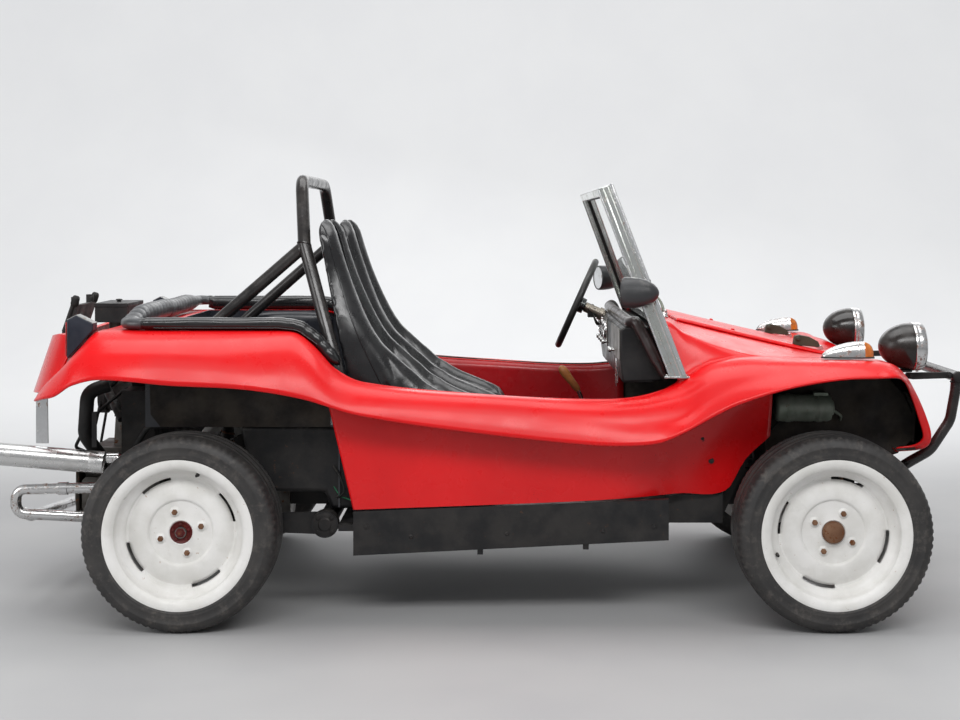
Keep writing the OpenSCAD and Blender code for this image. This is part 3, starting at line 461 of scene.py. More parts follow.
# ---------------------------------------------------------------- body moulding
# Guide lines of one half: (station, x, half width, height), the same that the CAD shell follows.
lip_line = [(-478, -478, 605, 693), (-440, -440, 660, 705), (-386, -386, 712, 720),
    (-327, -327, 740, 755), (-236, -236, 755, 775), (-21, -21, 760, 758), (200, 200, 756, 746),
    (378, 378, 742, 715), (548, 548, 726, 663), (905, 905, 720, 609), (1262, 1262, 720, 572),
    (1392, 1392, 722, 571), (1469, 1469, 726, 581), (1546, 1546, 731, 616), (1623, 1623, 737, 659),
    (1701, 1701, 742, 698), (1855, 1855, 746, 748), (2010, 2010, 745, 775), (2134, 2134, 738, 780),
    (2194, 2194, 725, 779), (2240, 2235, 660, 752), (2300, 2268, 590, 706), (2370, 2305, 535, 630),
    (2440, 2328, 505, 566), (2500, 2308, 490, 538), (2590, 2250, 478, 528)]
crease_line = [(-478, -475, 592, 703), (-440, -438, 632, 734), (-386, -384, 672, 776),
    (-327, -325, 702, 822), (-236, -236, 716, 846), (-21, -21, 720, 842), (200, 200, 716, 825),
    (378, 378, 708, 792), (480, 480, 704, 730), (548, 548, 700, 712), (905, 905, 690, 677),
    (1356, 1356, 690, 631), (1469, 1469, 692, 638), (1546, 1546, 696, 655), (1623, 1623, 698, 712),
    (1701, 1701, 700, 750), (1855, 1855, 702, 784), (2010, 2010, 700, 806), (2134, 2134, 692, 806),
    (2194, 2196, 676, 800), (2240, 2240, 634, 766), (2300, 2282, 575, 714), (2370, 2326, 522, 634),
    (2440, 2350, 495, 564), (2500, 2328, 482, 532), (2590, 2250, 472, 520)]
rim_line = [(-478, -468, 565, 714), (-440, -436, 585, 750), (-386, -384, 600, 800),
    (-327, -327, 606, 866), (-291, -291, 606, 906), (-270, -270, 606, 911), (-236, -236, 606, 911),
    (-200, -200, 606, 911), (250, 250, 608, 911), (290, 290, 608, 911), (345, 345, 610, 905),
    (397, 397, 612, 867), (478, 478, 616, 785), (548, 548, 618, 757), (722, 722, 620, 733),
    (966, 966, 620, 717), (1225, 1225, 618, 703), (1416, 1416, 614, 712), (1540, 1540, 606, 748),
    (1600, 1600, 602, 790), (1650, 1650, 600, 813), (1750, 1750, 598, 829), (1987, 1987, 598, 824),
    (2134, 2134, 594, 820), (2194, 2196, 584, 808), (2240, 2240, 570, 776), (2300, 2286, 540, 720),
    (2370, 2334, 503, 638), (2440, 2360, 480, 562), (2500, 2338, 472, 526), (2590, 2250, 462, 514)]
foot_line = [(-478, -455, 500, 716), (-440, -430, 512, 752), (-386, -384, 520, 802),
    (-327, -327, 520, 868), (-291, -291, 520, 906), (-270, -270, 520, 911), (-236, -236, 520, 911),
    (-200, -200, 520, 911), (250, 250, 522, 911), (290, 290, 524, 911), (345, 345, 540, 898),
    (397, 397, 560, 856), (478, 478, 590, 774), (548, 548, 598, 746), (722, 722, 602, 722),
    (966, 966, 602, 706), (1225, 1225, 600, 692), (1416, 1416, 594, 700), (1540, 1540, 566, 750),
    (1600, 1600, 552, 786), (1650, 1650, 548, 808), (1750, 1750, 546, 825), (1987, 1987, 545, 822),
    (2134, 2136, 540, 818), (2194, 2200, 530, 806), (2240, 2248, 515, 776), (2300, 2298, 490, 720),
    (2370, 2344, 462, 640), (2440, 2368, 448, 563), (2500, 2346, 442, 526), (2590, 2252, 436, 514)]
ridge_line = [(1540, 1469, 506, 941), (1575, 1500, 506, 938), (1600, 1525, 506, 929),
    (1635, 1562, 508, 899), (1690, 1628, 512, 871), (1750, 1692, 518, 851), (1810, 1757, 524, 835),
    (1860, 1808, 528, 826), (1987, 1987, 515, 822), (2134, 2140, 480, 815), (2194, 2214, 462, 804),
    (2240, 2262, 450, 776), (2300, 2312, 430, 722), (2370, 2355, 405, 644), (2440, 2377, 395, 565),
    (2500, 2356, 390, 528), (2590, 2256, 384, 515)]
lid_line = [(1540, 1469, 300, 940), (1590, 1530, 300, 930), (1620, 1565, 301, 922),
    (1650, 1600, 302, 914), (1840, 1830, 306, 859), (2070, 2070, 310, 806), (2134, 2144, 312, 795),
    (2194, 2226, 314, 788), (2240, 2276, 314, 764), (2300, 2326, 310, 724), (2370, 2366, 304, 650),
    (2440, 2385, 300, 570), (2500, 2366, 298, 531), (2590, 2262, 296, 516)]
COWL, HATCH_A, HATCH_B, HATCH_Y = 1540, 1650, 2100, 268


def guide(g, s):
    i = 0
    while i < len(g) - 2 and s >= g[i + 1][0]:
        i += 1
    w = g[i + 1][0] - g[i][0]
    t = min(max((s - g[i][0]) / w, 0), 1)

    def slope(k, c):
        a, b = max(k - 1, 0), min(k + 1, len(g) - 1)
        return (g[b][c] - g[a][c]) / (g[b][0] - g[a][0])
    return Vector([g[i][c] * (1 + 2 * t) * (1 - t) ** 2 + g[i + 1][c] * t * t * (3 - 2 * t)
                   + w * (slope(i, c) * t * (1 - t) ** 2 - slope(i + 1, c) * t * t * (1 - t)) for c in (1, 2, 3)])


def bezier(a, b, c, n):
    return [a * (1 - t) ** 2 + b * 2 * t * (1 - t) + c * t * t for t in [k / (n - 1) for k in range(n)]]


def relax(points, times):
    pts = list(points)
    for _ in range(times):
        pts = [pts[0]] + [(a + b * 2 + c) / 4 for a, b, c in zip(pts, pts[1:], pts[2:])] + [pts[-1]]
    return pts


def resample(points, n):
    """n points evenly spread along a polyline."""
    pts = [Vector(p) for p in points]
    far = [0.0]
    for a, b in zip(pts, pts[1:]):
        far.append(far[-1] + (b - a).length)
    out, j = [], 0
    for k in range(n):
        t = far[-1] * k / (n - 1)
        while j < len(pts) - 2 and far[j + 1] < t:
            j += 1
        out.append(pts[j].lerp(pts[j + 1], (t - far[j]) / max(far[j + 1] - far[j], 1e-9)))
    return out


ENDS = (6, 28, 40, 50, 52)


def dense_row(s):
    """Half a cross row from the wing edge to the middle: flange, crease, flank, crest, ridge and lid seat."""
    lip, crease, rim, foot = [guide(line, s) for line in (lip_line, crease_line, rim_line, foot_line)]
    front = s >= COWL
    ridge = guide(ridge_line, s) if front else foot - Vector((0, 60, 0))
    lid = guide(lid_line, s) if front else foot - Vector((0, 120, 0))
    out = Vector((0, 9, 7))
    flange = resample([lip, (lip + crease) / 2 + Vector((0, 3, 1)), crease], 7)
    flank = [crease, crease.lerp(rim, 0.34) + out, crease.lerp(rim, 0.67) + out, rim + Vector((0, 4, -4)),
        rim - Vector((0, 6, 0)), foot]
    flank = relax(resample(flank, 23), 9)
    cheek = resample([foot, foot.lerp(ridge, 0.5), ridge], 13)
    shelf = resample([ridge, ridge.lerp(lid, 0.5) + Vector((0, 0, 2)), lid], 11)
    flange = relax(flange, 1)
    row = flange[:-1] + flank[:-1] + cheek[:-1] + shelf[:-1] + [lid,
        Vector((lid.x, (lid.y + HATCH_Y) / 2, lid.z)), Vector((lid.x, HATCH_Y, lid.z))]
    row = relax(row, 1)
    return row + [Vector((lid.x, HATCH_Y * k / 3, lid.z)) for k in (2, 1, 0)]


def frange(a, b, step):
    n = max(1, round((b - a) / step))
    return [a + (b - a) * k / n for k in range(n)]


S = frange(-478, -236, 9) + frange(-236, 250, 27) + frange(250, 560, 9) + frange(560, 1300, 32) \
    + frange(1300, COWL, 12) + frange(COWL, HATCH_A, 7) + frange(HATCH_A,
        HATCH_B, 16) + frange(HATCH_B, 2590, 8) + [2590]
HALF = [dense_row(s) for s in S]
N_HALF = len(HALF[0])


def skin(i, j):
    last = 2 * (N_HALF - 1) - 1
    j, s = min(j, last - j), S[i]
    return j < ENDS[1] or (s >= COWL and (j < ENDS[4] or s < HATCH_A or s >= HATCH_B))


rows = [[P(p.x, -p.y, p.z) for p in h] + [P(p.x, p.y, p.z) for p in h[-2::-1]] for h in HALF]
body_skin = surface("body_skin", rows, RED, keep=skin, angle=42)
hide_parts("body_shell")


def two_sided(ob, inside, thickness=6):
    """Gives a moulding its thickness, with bare dusty laminate on the hidden face."""
    ob.data.materials.append(inside)
    s = ob.modifiers.new("thickness", "SOLIDIFY")
    s.thickness, s.offset, s.material_offset = thickness / 1000, -1, 1
    s.material_offset_rim = 0


two_sided(body_skin, UNDERSIDE)

# Side panels of the tub, with the turned-in lower edge.
tub_top = [(x, x, guide(rim_line, x).y - (22 if x > 1500 else 9), guide(rim_line, x).z - 4)
           for x in (400, 460, 548, 905, 1262, 1416, 1546, 1700, 1760, 1840)]
tub_foot = [(400, 519, 600, 352), (548, 600, 600, 355), (905, 905, 600, 366), (1262, 1262, 596, 380),
    (1416, 1416, 570, 386), (1546, 1546, 528, 391), (1700, 1700, 500, 396), (1760, 1760, 500, 492),
    (1840, 1840, 500, 568)]


def tub_rows():
    out = []
    for s in frange(400, 1840, 16) + [1840]:
        a, b = guide(tub_top, s), guide(tub_foot, s)
        row = []
        for k in range(25):
            t = k / 24
            p = a + (b - a) * t
            belly = 4 * math.sin(math.pi * t)
            dip = 5 * math.exp(-((t - 0.18) / 0.07) ** 2)
            row.append(P(p.x, -(p.y + belly - dip), p.z))
        row.append(P(b.x, -(b.y - 16), b.z + 1))
        out.append(row)
    return out


tr = tub_rows()
v, f = [p for r in tr for p in r], grid_faces(len(tr), len(tr[0]))
v2, f2 = mirrored(v, f)
for tag, v, f in (("right", v, f), ("left", v2, f2)):
    side_panel = piece("side_panel_" + tag, v, f, RED_LOW, angle=50, fix=False)
    two_sided(side_panel, UNDERSIDE)

# Inside faces of the cockpit, a little inboard of the side panels, in the darker red copy that paints in the
# cockpit's shade.
for side, tag in ((-1, "right"), (1, "left")):
    rr = []
    for s in frange(470, 1460, 30) + [1460]:
        a, b = guide(foot_line, s), guide(tub_foot, s)
        a = a + Vector((0, -1, -3))
        b = Vector((b.x, b.y - 12, b.z))
        rr.append([P(p.x, side * p.y, p.z) for p in [a + (b - a) * (k / 12) for k in range(13)]])
    surface("cockpit_side_" + tag, rr, RED_IN_SHADED, solid=2, angle=60)

# Tail panel: (half width, top x, top z, foot x, foot z).
tail_curve = [(0, -526, 862, -590, 690), (140, -524, 864, -588, 690), (300, -508, 872, -570, 692),
    (410, -474, 884, -536, 698), (480, -438, 892, -500, 706), (525, -400, 893, -462, 716),
    (548, -356, 893, -424, 752)]
full = [(-a, b, c, d, e) for a, b, c, d, e in tail_curve[:0:-1]] + tail_curve
top_edge = spline([Vector((b, a, c)) for a, b, c, d, e in full], 8)
low_edge = spline([Vector((d, a, e)) for a, b, c, d, e in full], 8)
rr = []
for a, b in zip(top_edge, low_edge):
    row = [P(a.x + 26, a.y * 0.985, a.z + 3), P(a.x + 10, a.y * 0.995, a.z + 2)]
    row += [P(p.x, p.y, p.z) for p in [a + (b - a) * (k / 10) for k in range(11)]]
    row.append(P(b.x + 14, b.y * 0.99, b.z - 4))
    rr.append(row)
surface("tail_panel", rr, RED, solid=6, angle=50)

# Deck over the engine bay between the wings.
rr = [[P(x, y, z) for y in range(-525, 526, 75)] for x, z in ((-292, 898), (-288, 906), (-280, 908),
    (-210, 908.5), (-150, 908.5))]
surface("engine_deck", rr, RED, solid=5)

# ---------------------------------------------------------------- bonnet lid
LID_Y, LID_A, LID_B = 296, 1620, 2134
rows = []
ys = [-LID_Y, -LID_Y, -LID_Y + 1.5, -LID_Y + 4.5, -LID_Y + 9] + [-240 + 40 * k for k in range(13)] \
    + [LID_Y - 9, LID_Y - 4.5, LID_Y - 1.5, LID_Y, LID_Y]
ls = [(LID_A, 1), (LID_A, 0), (LID_A + 2, 0), (LID_A + 6, 0),
    (LID_A + 12, 0)] + [(q, 0) for q in frange(1640, 2110, 16)] \
    + [(2112, 0), (2124, 0), (2131, 0), (LID_B, 0), (LID_B, 1)]
for s, down in ls:
    p = guide(lid_line, s)
    e = min(s - LID_A, LID_B - s)
    row = []
    for k, y in enumerate(ys):
        d = min(e, LID_Y - abs(y))
        drop = 6 * (1 - min(d, 9) / 9) ** 2
        crown = 4 * (1 - (y / LID_Y) ** 2) * min(1, e / 60)
        low = down or k in (0, len(ys) - 1)
        row.append(P(p.x, y, p.z + (1.2 if low else 12.9 - drop + crown)))
    rows.append(row)
lid = surface("bonnet_skin", rows, RED, body="bonnet", angle=60)
two_sided(lid, UNDERSIDE, 4)
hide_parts("bonnet_lid")
parts = []
for y in (-258, 258):
    p = guide(lid_line, 1778)
    parts.append(bolt_mesh(P(p.x, y, p.z + 12.6), (0.2, 0, 1), 6, 5))
v, f = joined(parts)
piece("bonnet_bolts", v, f, RED, body="bonnet")


# ---------------------------------------------------------------- wheels
HUB_Y, HUB_Z = 652, 300


def wheel(tag, x, side, body, slot_at, bolt_at, cap_mat, valve_at):
    c = P(x, side * HUB_Y, HUB_Z)
    out = Vector((0, side, 0))

    def at(r, deg, h):
        # Angles are seen from outboard of the right side, anticlockwise from the front.
        w = math.radians(deg)
        return c + Vector((math.cos(w) * r / 1000, side * h / 1000, math.sin(w) * r / 1000))
    # Tyre: carcass profile from the inner bead over the tread to the outer bead.
    prof = [(208, -74), (212, -80), (222, -88), (232, -94), (250, -98.5), (266, -99.5), (278, -97.5),
        (287, -92), (293, -85), (296.5, -78), (298, -70), (299, -60), (299.4, -48), (299.6, -45),
        (292.5, -44), (292.5, -38), (299.6, -37), (300, -15), (300, -12), (292.5, -11), (292.5, -5),
        (300, -4), (300, 4), (292.5, 5), (292.5, 11), (300, 12), (300, 15), (299.6, 37), (292.5, 38),
        (292.5, 44), (299.6, 45), (299.4, 48), (299, 60), (298, 70), (296.5, 78), (293, 85), (287, 92),
        (278, 97.5), (272, 98.6), (270, 99.8), (266, 99.8), (264, 98.8), (250, 98), (246, 98.6),
        (243, 98.2), (238, 96.6), (236, 97), (233, 95), (222, 88), (212, 80), (208, 74)]
    steps = 240
    verts, faces = turned_mesh(prof, c, out, steps)
    for i, (r, h) in enumerate(prof):
        if 287 <= r < 299 and abs(h) >= 70:
            for k in range(0, steps, 3):
                q = verts[i * steps + k]
                d = q - c
                d.y = 0
                verts[i * steps + k] = q - d.normalized() * (0.0045 if r > 293 else 0.0025)
    tyre = piece("tyre_" + tag, verts, faces, TYRE, body, angle=32)
    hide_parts(tag + "_tyre")
    # Steel rim: one turned sheet with four slots left open.
    prof = [(200, -84), (212, -92), (226, -93), (229, -90), (228, -86), (216, -83), (206, -80),
        (204, -62), (180, -44), (179, 38), (188, 46), (203, 62), (205, 78), (209, 83), (219, 85),
        (226, 86), (229.5, 89), (229, 93), (224, 94), (212, 91), (203, 87), (199, 82), (197.5, 66),
        (193, 56), (182, 47.5), (176, 44), (172, 38), (169, 33), (162, 31), (152, 34), (146, 37),
        (132, 40.5), (118, 42.5), (106, 43), (101, 41), (97, 36.5), (93, 35.5), (60, 36), (42, 37),
        (38, 39), (36, 37), (36, 30)]
    steps = 192
    lo = next(i for i, p in enumerate(prof) if p == (172, 38))
    hi = next(i for i, p in enumerate(prof) if p == (162, 31))

    def keep(i, j):
        if not lo <= i < hi:
            return True
        w = math.degrees(2 * math.pi * (j + 0.5) / steps)
        return all(abs((w - a + 180) % 360 - 180) > 17.5 for a in slot_at)
    verts = []
    for r, h in prof:
        for k in range(steps):
            verts.append(at(r, 360 * k / steps, h))
    faces = []
    for i in range(len(prof) - 1):
        for j in range(steps):
            if keep(i, j):
                k = (j + 1) % steps
                faces.append((i * steps + j, i * steps + k, (i + 1) * steps + k, (i + 1) * steps + j))
    rim = piece("rim_" + tag, verts, faces, WHITE_STEEL, body, angle=30)
    s = rim.modifiers.new("thickness", "SOLIDIFY")
    s.thickness, s.offset = 0.0028, 0
    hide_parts(tag + "_rim")
    # Wheel bolts with worn seats, and the valve.
    parts, seats = [], []
    for a in bolt_at:
        parts.append(turned_mesh([(0, 40), (9.5, 40), (9, 47), (7, 49), (0, 49.5)], at(65, a, 0), out, 6))
        seats.append(turned_mesh([(8, 37.5), (16, 36.4), (17.5, 36.2), (16, 38), (8, 41)], at(65, a, 0), out,
            24))
    piece("bolts_" + tag, *joined(parts), RUSTY, body, bevel=0.8)
    piece("bolt_seats_" + tag, *joined(seats), WHITE_STEEL, body)
    v, f = joined([turned_mesh([(0, 40), (6, 40), (5.5, 62), (4, 64), (4.4, 64), (4.4, 75), (0, 76)],
        at(187, valve_at, 0), out, 16)])
    piece("valve_" + tag, v, f, RUBBER, body)
    # Brake drum with cooling fins behind the disc, and the hub in the middle hole.
    drum = turned("drum_" + tag, [(20, 28), (88, 28), (92, 22), (112, 18), (118, 14), (118, 10),
        (122, 9), (122, 4), (118, 3), (118, -2), (122, -3), (122, -8), (118, -9), (118, -14), (122, -15),
        (122, -20), (118, -21), (118, -36), (110, -38), (60, -38), (24, -30)],
                  c, out, BLACK_METAL, body, 72)
    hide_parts(tag + "_drum")
    if cap_mat is RUSTY:
        prof = [(34.5, 30), (34.5, 41), (33, 44), (31.5, 45), (31, 52), (29, 56), (24, 58.5), (10, 59.5),
            (0, 60)]
        turned("grease_cap_" + tag, prof, c, out, RUSTY, body, 40, angle=30)
    else:
        turned("hub_face_" + tag, [(35, 28), (35, 38), (33, 40), (30, 38), (22, 35), (0, 35)], c, out,
            DARK_RED, body, 40)
        piece("hub_nut_" + tag, *joined([turned_mesh([(0, 36), (17, 36), (17, 47), (15, 49), (0, 49)], c, out,
            6),
                       turned_mesh([(0, 47), (9, 47), (9, 55), (8, 56.5), (0, 57)], c, out, 20)]
                      + [turned_mesh([(0, 36), (5, 36), (5, 40.5), (4, 41.5), (0, 42)], at(25, a, 0), out, 6)
                         for a in (20, 92, 164, 236, 308)]), DARK_RED, body, bevel=0.6)


def tyre_rubber():
    m = Nodes("tyre_rubber")
    base = m.mix(m.ramp(m.noise(9, 5), 0.35, 0.7), (0.020, 0.019, 0.019), (0.038, 0.035, 0.033))
    dusty = m.ramp(m.noise(34, 7, 0.72), 0.48, 0.74)
    base = m.mix(m.math("MULTIPLY", dusty, 0.55), base, (0.115, 0.100, 0.088))
    r = m.ramp(m.noise(22, 5), 0.3, 0.8, 0.55, 0.75)
    h = m.math("ADD", m.noise(300, 3), m.math("MULTIPLY", m.noise(60, 4), 0.7))
    return m.finish(Base_Color=base, Roughness=r, Normal=m.bump(h, 0.22, 0.0012))


TYRE = tyre_rubber()
REAR_SLOTS, FRONT_SLOTS = (28, 118, 208, 298), (74, 164, 254, 344)
wheel("rear_right", 0, -1, "rear_right_wheel", REAR_SLOTS, (107, 17, -73, 197), DARK_RED, 73)
wheel("rear_left", 0, 1, "rear_left_wheel", REAR_SLOTS, (107, 17, -73, 197), DARK_RED, 40)
wheel("front_right", 2000, -1, "front_right_wheel", FRONT_SLOTS, (62, -28, -118, 152), RUSTY, 200)
wheel("front_left", 2000, 1, "front_left_wheel", FRONT_SLOTS, (62, -28, -118, 152), RUSTY, 75)


# ---------------------------------------------------------------- tubes and bars
def fillet(points, r, n=6):
    """A path through straight stretches with rounded bends of radius r in mm."""
    pts = [Vector(p) for p in points]
    out = [pts[0]]
    for a, b, c in zip(pts, pts[1:], pts[2:]):
        u, w = a - b, c - b
        k = min(r / 1000 * abs(math.tan((math.pi - u.angle(w)) / 2)), 0.45 * u.length, 0.45 * w.length)
        out += bezier(b + u.normalized() * k, b, b + w.normalized() * k, n)
    return out + [pts[-1]]


def both_sides(parts):
    return joined([m for v, f in parts for m in ((v, f), mirrored(v, f))])


def bar(points, d, r=60, sides=18, n=7):
    return tube_mesh(fillet([P(*p) for p in points], r, n), d / 2, sides)


def mm(points):
    return [P(*p) for p in points]


def paint_node(name, mat, bevel=1.5):
    """A CAD node whose shape is right gets its finish and softly broken edges."""
    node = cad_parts[name]
    node.data.materials.clear()
    node.data.materials.append(mat)
    if bevel:
        b = node.modifiers.new("edge", "BEVEL")
        b.width, b.segments, b.limit_method, b.angle_limit = bevel / 1000, 2, "ANGLE", math.radians(40)
    return node


# Roll bar: hoop, two braces, weld beads and foot plates.
hoop = [(560, -548, 300.3), (560, -548, 380), (464, -557, 790), (343, -420, 1180), (322, -322, 1389),
    (322, 322, 1389), (343, 420, 1180), (464, 557, 790), (560, 548, 380), (560, 548, 300.3)]
brace = [(346, -421, 1176), (-84, -452, 800), (-143, -452, 800)]
weld = [tube_mesh([P(340, -421, 1172) + Vector((-0.010 - 0.004 * math.sin(a), 0.0215 * math.cos(a),
    0.0215 * math.sin(a) - 0.012))
                   for a in frange(0, 2 * math.pi, 0.35)], 2.6, 8, True)]
weld.append(turned_mesh([(21, -3), (24.5, -1), (24.5, 2), (21, 4)],
    P(343, -420, 1180), (-0.2, -0.35, -0.9), 20))
feet = [box_mesh(515, 605, -590, -510, 301, 306)]
feet += [bolt_mesh(P(x, y, 306), (0, 0, 1), 7, 6) for x in (527, 593) for y in (-522, -578)]
feet += [turned_mesh([(0, 0), (38, 0), (38, 5), (0, 5)], P(-142, -452, 800), (1, 0, 0), 24)]
roll = piece("roll_bar_tubes", *joined([bar(hoop, 42, 80, 24, 10), both_sides([bar(brace, 41, 60, 22)])]),
    BLACK_TUBE, angle=50)
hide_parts("roll_bar")
piece("roll_bar_welds", *both_sides(weld + feet), BLACK_TUBE)

# ---------------------------------------------------------------- windscreen
LEAN = math.radians(20.5)


def SV(depth, y, up):
    """A point of the screen: depth ahead of the glass, y across, up along the glass."""
    return P(1540 + depth * math.cos(LEAN) - up * math.sin(LEAN), y,
        755 + depth * math.sin(LEAN) + up * math.cos(LEAN))


def half_at(up):
    return 600 - 80 * up / 651


def screen_loop(profile, top=651, foot=None, low=None):
    """Sweeps (depth, inset) round the screen; the loop is closed along the foot when low is given."""
    rows = []
    if low is None:
        corners = [(-1, foot), (-1, top), (1, top), (1, foot)]
    else:
        corners = [(-1, low), (-1, top), (1, top), (1, low)]
    for side, up in corners:
        row = []
        for depth, inset in profile:
            u = up - inset if up == top else (up + inset if low is not None else up - depth * math.tan(LEAN))
            row.append(SV(depth, side * (half_at(u) - inset), u))
        rows.append(row)
    n = len(profile)
    faces = grid_faces(4, n, wrap=True)
    if low is None:
        faces += [tuple(range(n)), tuple(range(3 * n, 4 * n))]
    else:
        faces += [(3 * n + k, 3 * n + (k + 1) % n, (k + 1) % n, k) for k in range(n)]
    return [p for r in rows for p in r], faces


def screen_bar(up0, up1, d0, d1, inset):
    row = lambda u: [(-(half_at(u) - inset)), (half_at(u) - inset)]
    verts = [SV(d, y, u) for u in (up0, up1) for d in (d0, d1) for y in row(u)]
    return verts, [(0, 1, 3, 2), (4, 5, 7, 6), (0, 1, 5, 4), (2, 3, 7, 6), (0, 2, 6, 4), (1, 3, 7, 5)]


leg = [(-22, 3), (-20.5, 0.8), (-18, 0), (-7, 0), (-6, 1.6), (6, 1.6), (7, 0), (18, 0), (20.5, 0.8),
    (22, 3), (22, 9), (20.8, 10), (20.8, 16), (22, 17), (22, 23), (20, 25.5), (17, 26), (7, 26), (6, 21),
    (-6, 21), (-7, 26), (-17, 26), (-20, 25.5), (-22, 23)]
leg = [(d * 1.22, w) for d, w in leg]
frame_metal = piece("screen_frame", *joined([screen_loop(leg, foot=8), screen_bar(200, 229, -20, 20, 25.5)]),
    SCREEN_METAL, bevel=1.2, angle=35)
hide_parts("windscreen_frame")
gasket = [(-8, 18), (8, 18), (9, 25), (8.5, 31), (5.5, 34), (-5.5, 34), (-8.5, 31), (-9, 25)]
v, f = screen_loop(gasket, top=651, low=199)
piece("screen_gasket", v, f, RUBBER, angle=50)
for tag, d0, d1, mat in (("rear", -26, -21, ALU), ("front", 15, 25, ALU)):
    strip = [(d0, -0.6), (d0 + 1.5, -1.6), (d1 - 1.5, -1.6), (d1, -0.6), (d1, 0.6), (d0, 0.6)]
    piece("screen_edge_" + tag, *screen_loop(strip, foot=20), mat, angle=50)
feet = [box_mesh(1492, 1572, -598, -566, 762.5, 768)]
feet += [bolt_mesh(P(1502, -582, 768), (0, 0, 1), 6, 5), bolt_mesh(P(1562, -582, 768), (0, 0, 1), 6, 5)]
for up in (250, 330, 420, 520, 600):
    feet.append(turned_mesh([(0, 0), (4, 0), (3.4, 1.4), (0, 1.8)], SV(14, -half_at(up), up), (0, -1, 0), 12))
piece("screen_feet", *both_sides(feet), CHROME_OLD, bevel=0.8)
paint_node("windscreen_glass", GLASS, 0)

# Wipers: pivot, sprung arm and blade on the cowl, one ahead of each seat.
pivots, arms, blades = [], [], []
for y in (-230, 90):
    foot = guide(lid_line, 1590)
    base = P(foot.x, y, foot.z + 1.5)
    pivots.append(turned_mesh([(0, 0), (15, 0), (15, 3), (11, 6), (10, 14), (8, 16), (8, 23), (5, 26),
        (0, 26.5)], base, (0.2, 0, 1), 24))
    a, b = P(foot.x, y, foot.z + 20), P(1502, y + 40, 1012)
    arms.append(tube_mesh(spline([a, a * 0.6 + b * 0.4 + Vector((0.004, 0, 0.004)), b], 6),
        lambda t: 5.5 - 2.5 * t, 12))
    arms.append(tube_mesh(fillet([b, P(1503, y + 38, 1009), P(1488, y + 100, 1052)], 10), 2.4, 10))
    c, d = P(1505, y + 32, 1002), P(1473, y + 160, 1092)
    blades.append(tube_mesh(spline([c, c * 0.5 + d * 0.5 + Vector((0.003, 0, 0)), d], 6), 2.6, 10))
    for t in (0.25, 0.5, 0.75):
        q = c * (1 - t) + d * t
        blades.append(tube_mesh([q + Vector((0.004, -0.006, -0.004)), q + Vector((0.004, 0.006, 0.004))], 3.6,
            8))
wipe = piece("wiper_pivots", *joined(pivots), CHROME_OLD, angle=40)
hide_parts("wipers")
piece("wiper_arms", *joined(arms), GREEN, angle=50)
piece("wiper_blades", *joined(blades), RUBBER, angle=50)

# Door mirrors on the screen legs: tear-drop bowl, glass and stalk.
bowl = [(38, 4), (43, 2), (46, 0.5), (48, 3), (48.6, 12), (48, 30), (46, 48), (42, 66), (36, 82),
    (28, 96), (18, 106), (8, 111.5), (0, 113)]
stalk = tube_mesh(fillet(mm([(1437, -566, 1030), (1436, -588, 1030), (1428, -612, 1031)]), 14), lambda t: 7.5,
    16)
aim = (math.cos(0.33), -math.sin(0.33), 0)
mirror_bowl = piece("mirror_bowls", *both_sides([turned_mesh(bowl, P(1362, -624, 1032), aim, 40), stalk,
                   turned_mesh([(8, -2), (13, -1), (13, 3), (8, 5)], P(1437, -567, 1030), (0, -1, 0), 20)]),
                   MIRROR_GREY, angle=50)
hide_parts("door_mirrors")
piece("mirror_glasses", *both_sides([turned_mesh([(0, 1.2), (20, 1.4), (43.6, 2.4)], P(1362, -624, 1032), aim,
    40)]), ALU, angle=60)

# ---------------------------------------------------------------- dashboard and steering
cowl_under = guide(lid_line, 1565)
nose_x, nose_z = cowl_under.x, cowl_under.z - 7
dash_side = [(1372, 738), (1364, 800), (1364, 905), (1376, 915),
    (1463, 915), (nose_x - 2, nose_z - 2), (nose_x - 2, 742)]
dash = slab("dash_box", dash_side, -480, 480, BLACK_PAINT, bevel=6)
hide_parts("dashboard")
face_plate = []
for y0, y1 in ((80, 470), (-470, -120)):
    face_plate.append(box_mesh(1361.5, 1365, y0, y1, 806, 906))
piece("dash_face", *joined(face_plate), DASH_METAL, bevel=1.5)
dials, faces_, knobs = [], [], []
for y, z, r in ((330, 858, 47), (235, 862, 26), (425, 862, 26), (150, 862, 26)):
    dials.append(turned_mesh([(r - 5, 2), (r - 3, 9), (r + 1, 9), (r + 4, 5), (r + 4, 0), (r - 5, 0)],
        P(1362, y, z), (-1, 0, 0), 40))
    faces_.append(turned_mesh([(0, 3.4), (r * 0.6, 3.2), (r - 4, 3)], P(1362, y, z), (-1, 0, 0), 32))
for y in (100, 190, 280, 380, -200, -240):
    knobs.append(turned_mesh([(0, 0), (5, 0), (5, 9), (8, 11), (8, 18), (6, 20), (0, 20.5)], P(1362, y, 822),
        (-1, 0, 0), 16))
piece("dash_bezels", *joined(dials + knobs), CHROME_OLD, angle=40)
piece("dash_dials", *joined(faces_), DIAL, angle=60)
piece("dash_lower_boxes", *both_sides([box_mesh(1372, 1470, -478, -300, 736, 797)]), BLACK_WORN, bevel=5)
piece("dash_bracket", *joined([box_mesh(1366, 1371, -300, -230, 742, 760),
    box_mesh(1366, 1371, -238, -230, 700, 760),
               box_mesh(1366, 1371, -300, -292, 716, 760), box_mesh(1362, 1368, -330, -296, 770, 800)]),
               CHROME_OLD, bevel=1)


def pad_path(y_end):
    """The padded roll: across the top of the dashboard and down both sides beside the screen legs."""
    half = [(1505, y_end, 752), (1455, y_end - 6, 850), (1412, y_end - 26, 935), (1397, y_end - 56, 930),
        (1395, y_end - 110, 929)]
    return [P(x, -y, z) for x, y, z in half] + [P(x, y, z) for x, y, z in half[::-1]]


